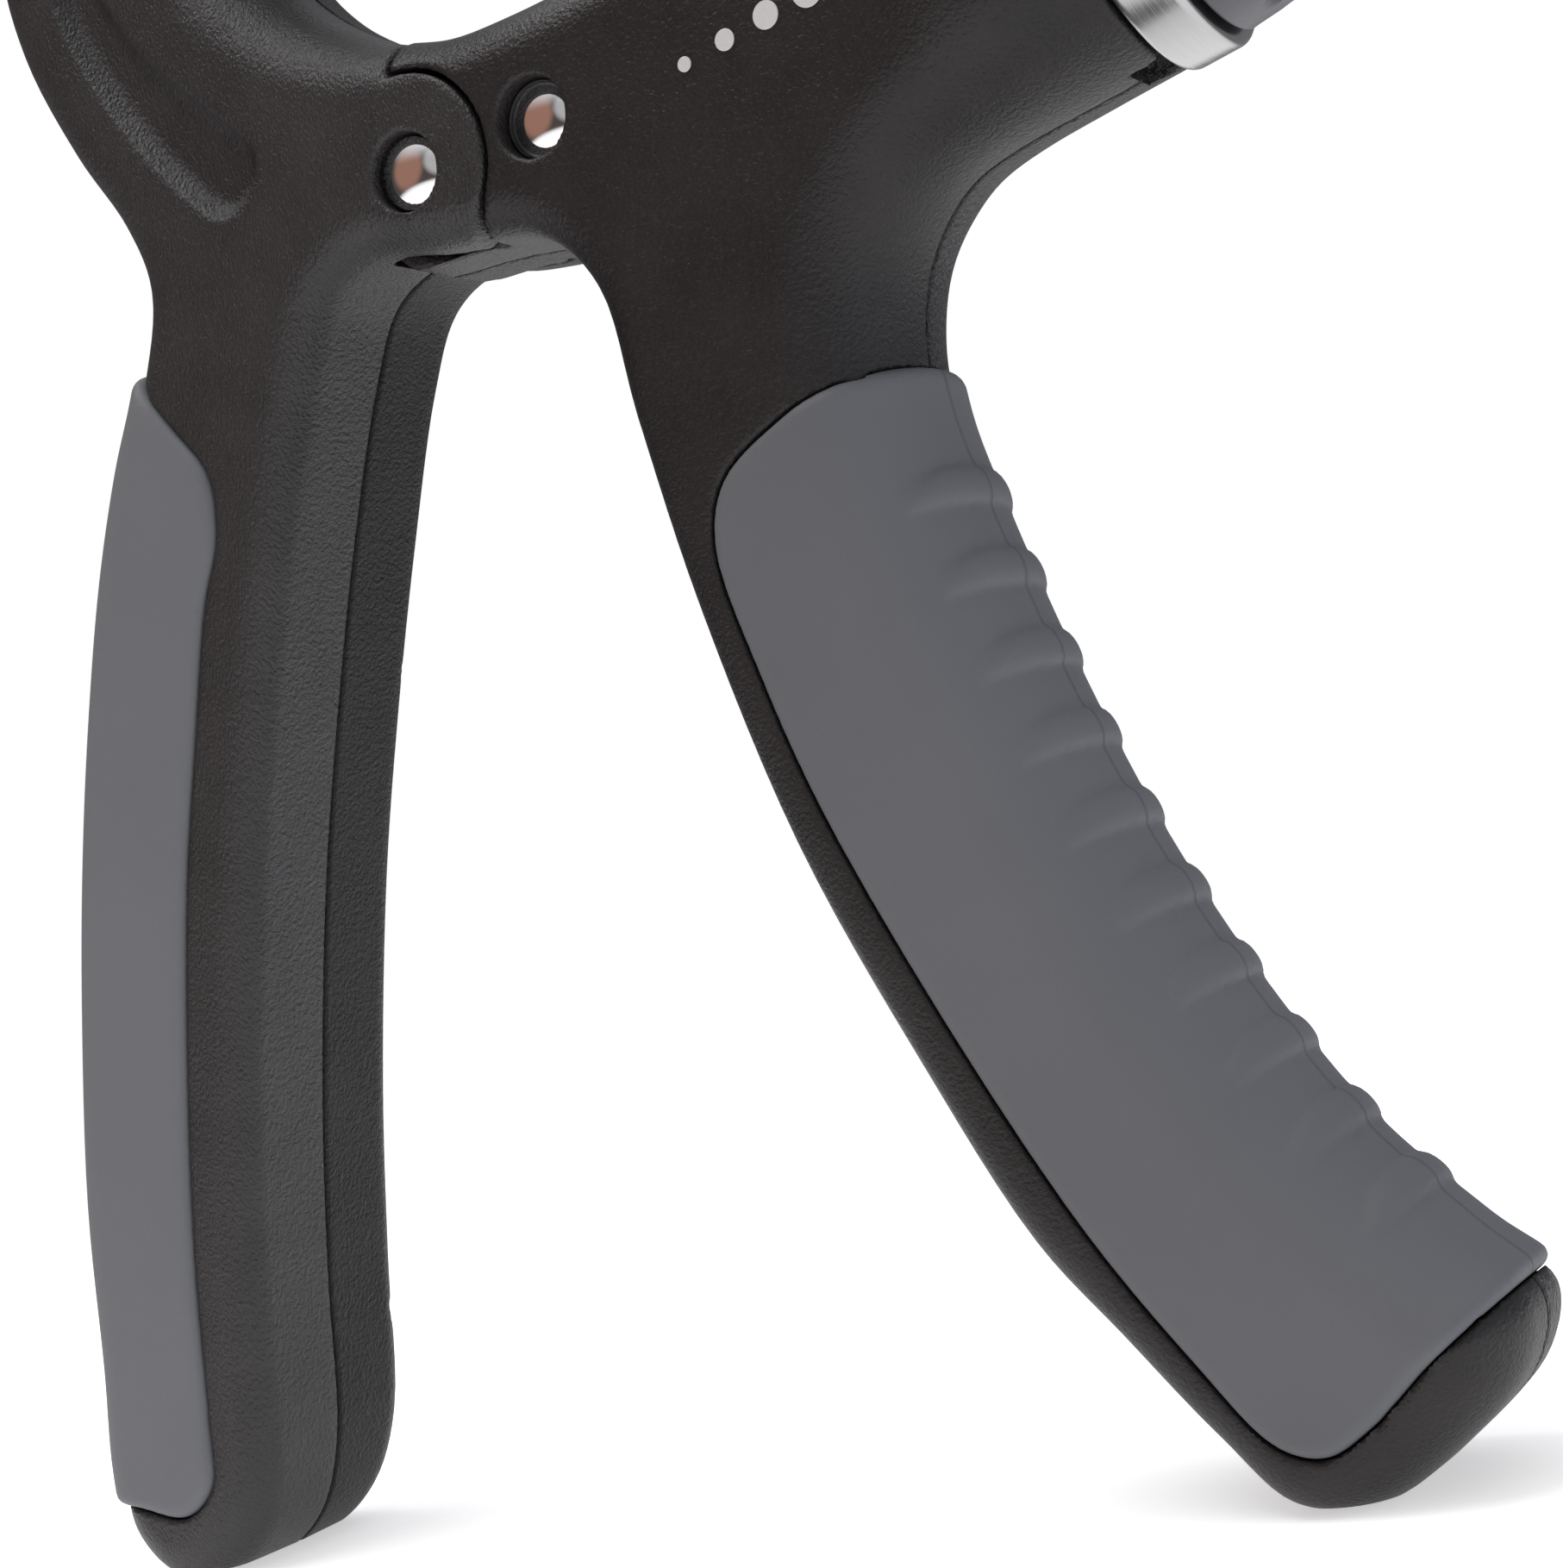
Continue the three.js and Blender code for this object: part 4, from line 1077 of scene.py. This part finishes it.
def nut_shape():
    """The nut's block with two ears that hold the hook's pin; the axis is local Z, and local X is up."""
    low, high = NUT_MIDDLE - 5, NUT_MIDDLE + 5
    block = box_mesh((-4.7, -4.7, low), (4.7, 4.7, high), 0.5)
    ears = [
        box_mesh((3.9, side - 1.25, low + 2), (NUT_PIN_HEIGHT + 3, side + 1.25, high - 2), 0.6)
        for side in (-3.45, 3.45)
    ]
    return joined(block, *ears)


def build_nut():
    add_piece("Travelling_nut", nut_shape(), "nut", "nut_brass", ARM_FRAME)


def build_pivot_pieces():
    for name, shape in (
        ("Pivot_bushing", tube_profile(2.4, BUSHING_R, 0.1 - TONGUE_Y, TONGUE_Y - 0.1)),
        ("Pivot_washer_front", tube_profile(2.6, WASHER_R, TONGUE_Y + 0.25, EAR_INNER_Y - 0.25, 0.1)),
        ("Pivot_washer_rear", tube_profile(2.6, WASHER_R, 0.25 - EAR_INNER_Y, -TONGUE_Y - 0.25, 0.1)),
    ):
        add_piece(name, lathe(shape), "frame", "bearing_nylon", across(0, 0))
    seat = HALF_DEPTH - FRAME_HEAD_DEPTH - RIVET_HEAD_HEIGHT
    inner, outer, top = RIVET_HEAD_R + 0.06, RECESS_R - 0.06, seat + 0.6
    step = [(inner, seat - 0.05), (outer, seat - 0.05), (outer, seat + 0.45), (3.1, top), (inner, top)]
    add_piece("Frame_rivet_seat", lathe(step), "frame", "dark_steel", across(*FRAME_RIVET), RIVET_SEAT, [])


def build_scale():
    """Five round marks that grow along the arm: a plain setting scale."""
    dots = []
    for i in range(5):
        x, z = arm_point(27.5 + 3.9 * i, 1.2)
        radius = 0.6 + 0.25 * i
        dot = lathe([(0, 0), (radius, 0), (radius, 0.06), (radius - 0.05, 0.1), (0, 0.1)], 40)
        dots.append(placed(across(x, z) @ Matrix.Translation((0, 0, HALF_DEPTH + 0.01)), dot))
    add_piece("Scale_dots", joined(*dots), "frame", "scale_print", replaced=["scale_strip"])


build_handles()
build_rivets()
build_shell_screws()
build_pins()
build_spring()
build_screw_and_knob()
build_nut()
build_pivot_pieces()
build_scale()


# -------------------------------- floor
FLOOR_R = 1500
FLOOR_GLOW = 0.52
FLOOR_FADE = (0.25, 0.9)  # metres from the middle


def build_floor():
    """A pale floor that lightens into the background away from the object."""
    vertices, faces = lathe([(0, 0), (FLOOR_R, 0)], 96)
    mesh = bpy.data.meshes.new("Floor")
    mesh.from_pydata((vertices * MM).tolist(), [], faces)
    tree = Tree("floor")
    glow = tree.add("ShaderNodeEmission")
    glow.inputs["Strength"].default_value = FLOOR_GLOW
    paper = tree.noise(30, detail=2)
    tree.set(Base_Color=tree.ramp(paper, (0.3, (0.90, 0.90, 0.91)), (0.7, (0.92, 0.92, 0.92))), Roughness=0.9,
             Specular_IOR_Level=0.1)
    total = tree.add("ShaderNodeAddShader")
    tree.links.new(tree.shader.outputs[0], total.inputs[0])
    tree.links.new(glow.outputs[0], total.inputs[1])
    distance = tree.add("ShaderNodeVectorMath", operation="LENGTH")
    tree.links.new(tree.place, distance.inputs[0])
    fade = tree.ease(distance.outputs["Value"], *FLOOR_FADE)
    clear = tree.add("ShaderNodeBsdfTransparent")
    mix = tree.mixed(fade, total.outputs[0], clear.outputs[0])
    tree.links.new(mix, tree.nodes["Material Output"].inputs["Surface"])
    mesh.materials.append(tree.material)
    floor = bpy.data.objects.new("Floor", mesh)
    floor.location = (0, 0, -0.0003)
    bpy.context.scene.collection.objects.link(floor)


# -------------------------------- light
FRONT_LIGHT = (0.085, 0.07, 0.065)
LOBES = (  # direction, the cosines between which it grows, colour
    ((0, 1, 0), -0.2, 0.9, (0.22, 0.22, 0.24)),
    ((1, 0.1, 0), 0.72, 0.97, (0.88, 0.92, 1.12)),
    ((-0.50, -0.80, 0.33), 0.82, 0.93, (0.36, 0.19, 0.145)),
    ((0.45, -0.80, 0.38), 0.86, 0.95, (0.50, 0.50, 0.51)),
    ((0, 0, 1), 0.45, 0.95, (0.95, 0.95, 0.97)),
    ((0, 0, -1), 0.10, 0.26, (1.0, 1.0, 1.0)),
)
MIX_FACTOR, MIX_A, MIX_B, MIX_RESULT = 0, 6, 7, 2  # the mix node's sockets for colours


def build_world():
    """A pale studio, darker in front, where a warm patch and a grey one reflect; the camera sees white."""
    world = bpy.data.worlds.new("studio")
    bpy.context.scene.world = world
    tree = Nodes(world)
    tree.nodes.clear()
    way = tree.add("ShaderNodeTexCoord").outputs["Generated"]
    colour = None
    for direction, start, end, lobe_colour in LOBES:
        toward = tree.add("ShaderNodeVectorMath", operation="DOT_PRODUCT")
        toward.inputs[1].default_value = Vector(direction).normalized()
        tree.links.new(way, toward.inputs[0])
        mix = tree.add("ShaderNodeMix", data_type="RGBA")
        tree.links.new(tree.ease(toward.outputs["Value"], start, end), mix.inputs[MIX_FACTOR])
        if colour:
            tree.links.new(colour, mix.inputs[MIX_A])
        else:
            mix.inputs[MIX_A].default_value = (*FRONT_LIGHT, 1)
        mix.inputs[MIX_B].default_value = (*lobe_colour, 1)
        colour = mix.outputs[MIX_RESULT]
    surroundings = tree.add("ShaderNodeBackground")
    tree.links.new(colour, surroundings.inputs["Color"])
    white = tree.add("ShaderNodeBackground")
    white.inputs["Color"].default_value = (1, 1, 1, 1)
    to_camera = tree.add("ShaderNodeLightPath").outputs["Is Camera Ray"]
    seen = tree.mixed(to_camera, surroundings.outputs[0], white.outputs[0])
    tree.links.new(seen, tree.add("ShaderNodeOutputWorld").inputs["Surface"])


def add_softbox(name, place, target, size, watts):
    light = bpy.data.lights.new(name, "AREA")
    light.shape, light.size, light.energy = "DISK", size, watts
    lamp = bpy.data.objects.new(name, light)
    lamp.location = place
    lamp.rotation_euler = (Vector(target) - Vector(place)).to_track_quat("-Z", "Y").to_euler()
    bpy.context.scene.collection.objects.link(lamp)


# -------------------------------- camera
LEAN = math.radians(12.1)  # of the camera, as the object in it stands tilted
CAMERA_PLACE = (139.27, -181.20, -36.21)  # mm from the pivot's front, before the lean
CAMERA_TURN = math.radians(29.813)
CAMERA_DIP = math.radians(3.627)
CAMERA_ROLL = math.radians(-0.370)
CAMERA_LENS = 62.84


def build_camera():
    up = Vector((0, 0, 1))
    ahead = Vector((-math.sin(CAMERA_TURN), math.cos(CAMERA_TURN), 0))
    right = Vector((math.cos(CAMERA_TURN), math.sin(CAMERA_TURN), 0))
    view = math.cos(CAMERA_DIP) * ahead - math.sin(CAMERA_DIP) * up
    top = math.cos(CAMERA_DIP) * up + math.sin(CAMERA_DIP) * ahead
    side = math.cos(CAMERA_ROLL) * right + math.sin(CAMERA_ROLL) * top
    top = math.cos(CAMERA_ROLL) * top - math.sin(CAMERA_ROLL) * right
    lean = Matrix.Rotation(LEAN, 4, "Y")
    data = bpy.data.cameras.new("Camera")
    data.lens, data.sensor_width, data.sensor_fit = CAMERA_LENS, 36, "HORIZONTAL"
    data.clip_start, data.clip_end = 0.01, 20
    camera = bpy.data.objects.new("Camera", data)
    front = Matrix.Translation(PIVOT + Vector((0, -HALF_DEPTH * MM, 0)))
    place = Matrix.Translation(Vector(CAMERA_PLACE) * MM)
    camera.matrix_world = front @ lean @ place @ with_axes(side, top, -view)
    bpy.context.scene.collection.objects.link(camera)
    bpy.context.scene.camera = camera


build_floor()
build_world()
add_softbox("Top light", (-0.15, -0.1, 0.75), (0, 0, 0.08), 0.5, 3)
build_camera()
bpy.context.scene.view_settings.view_transform = "Standard"
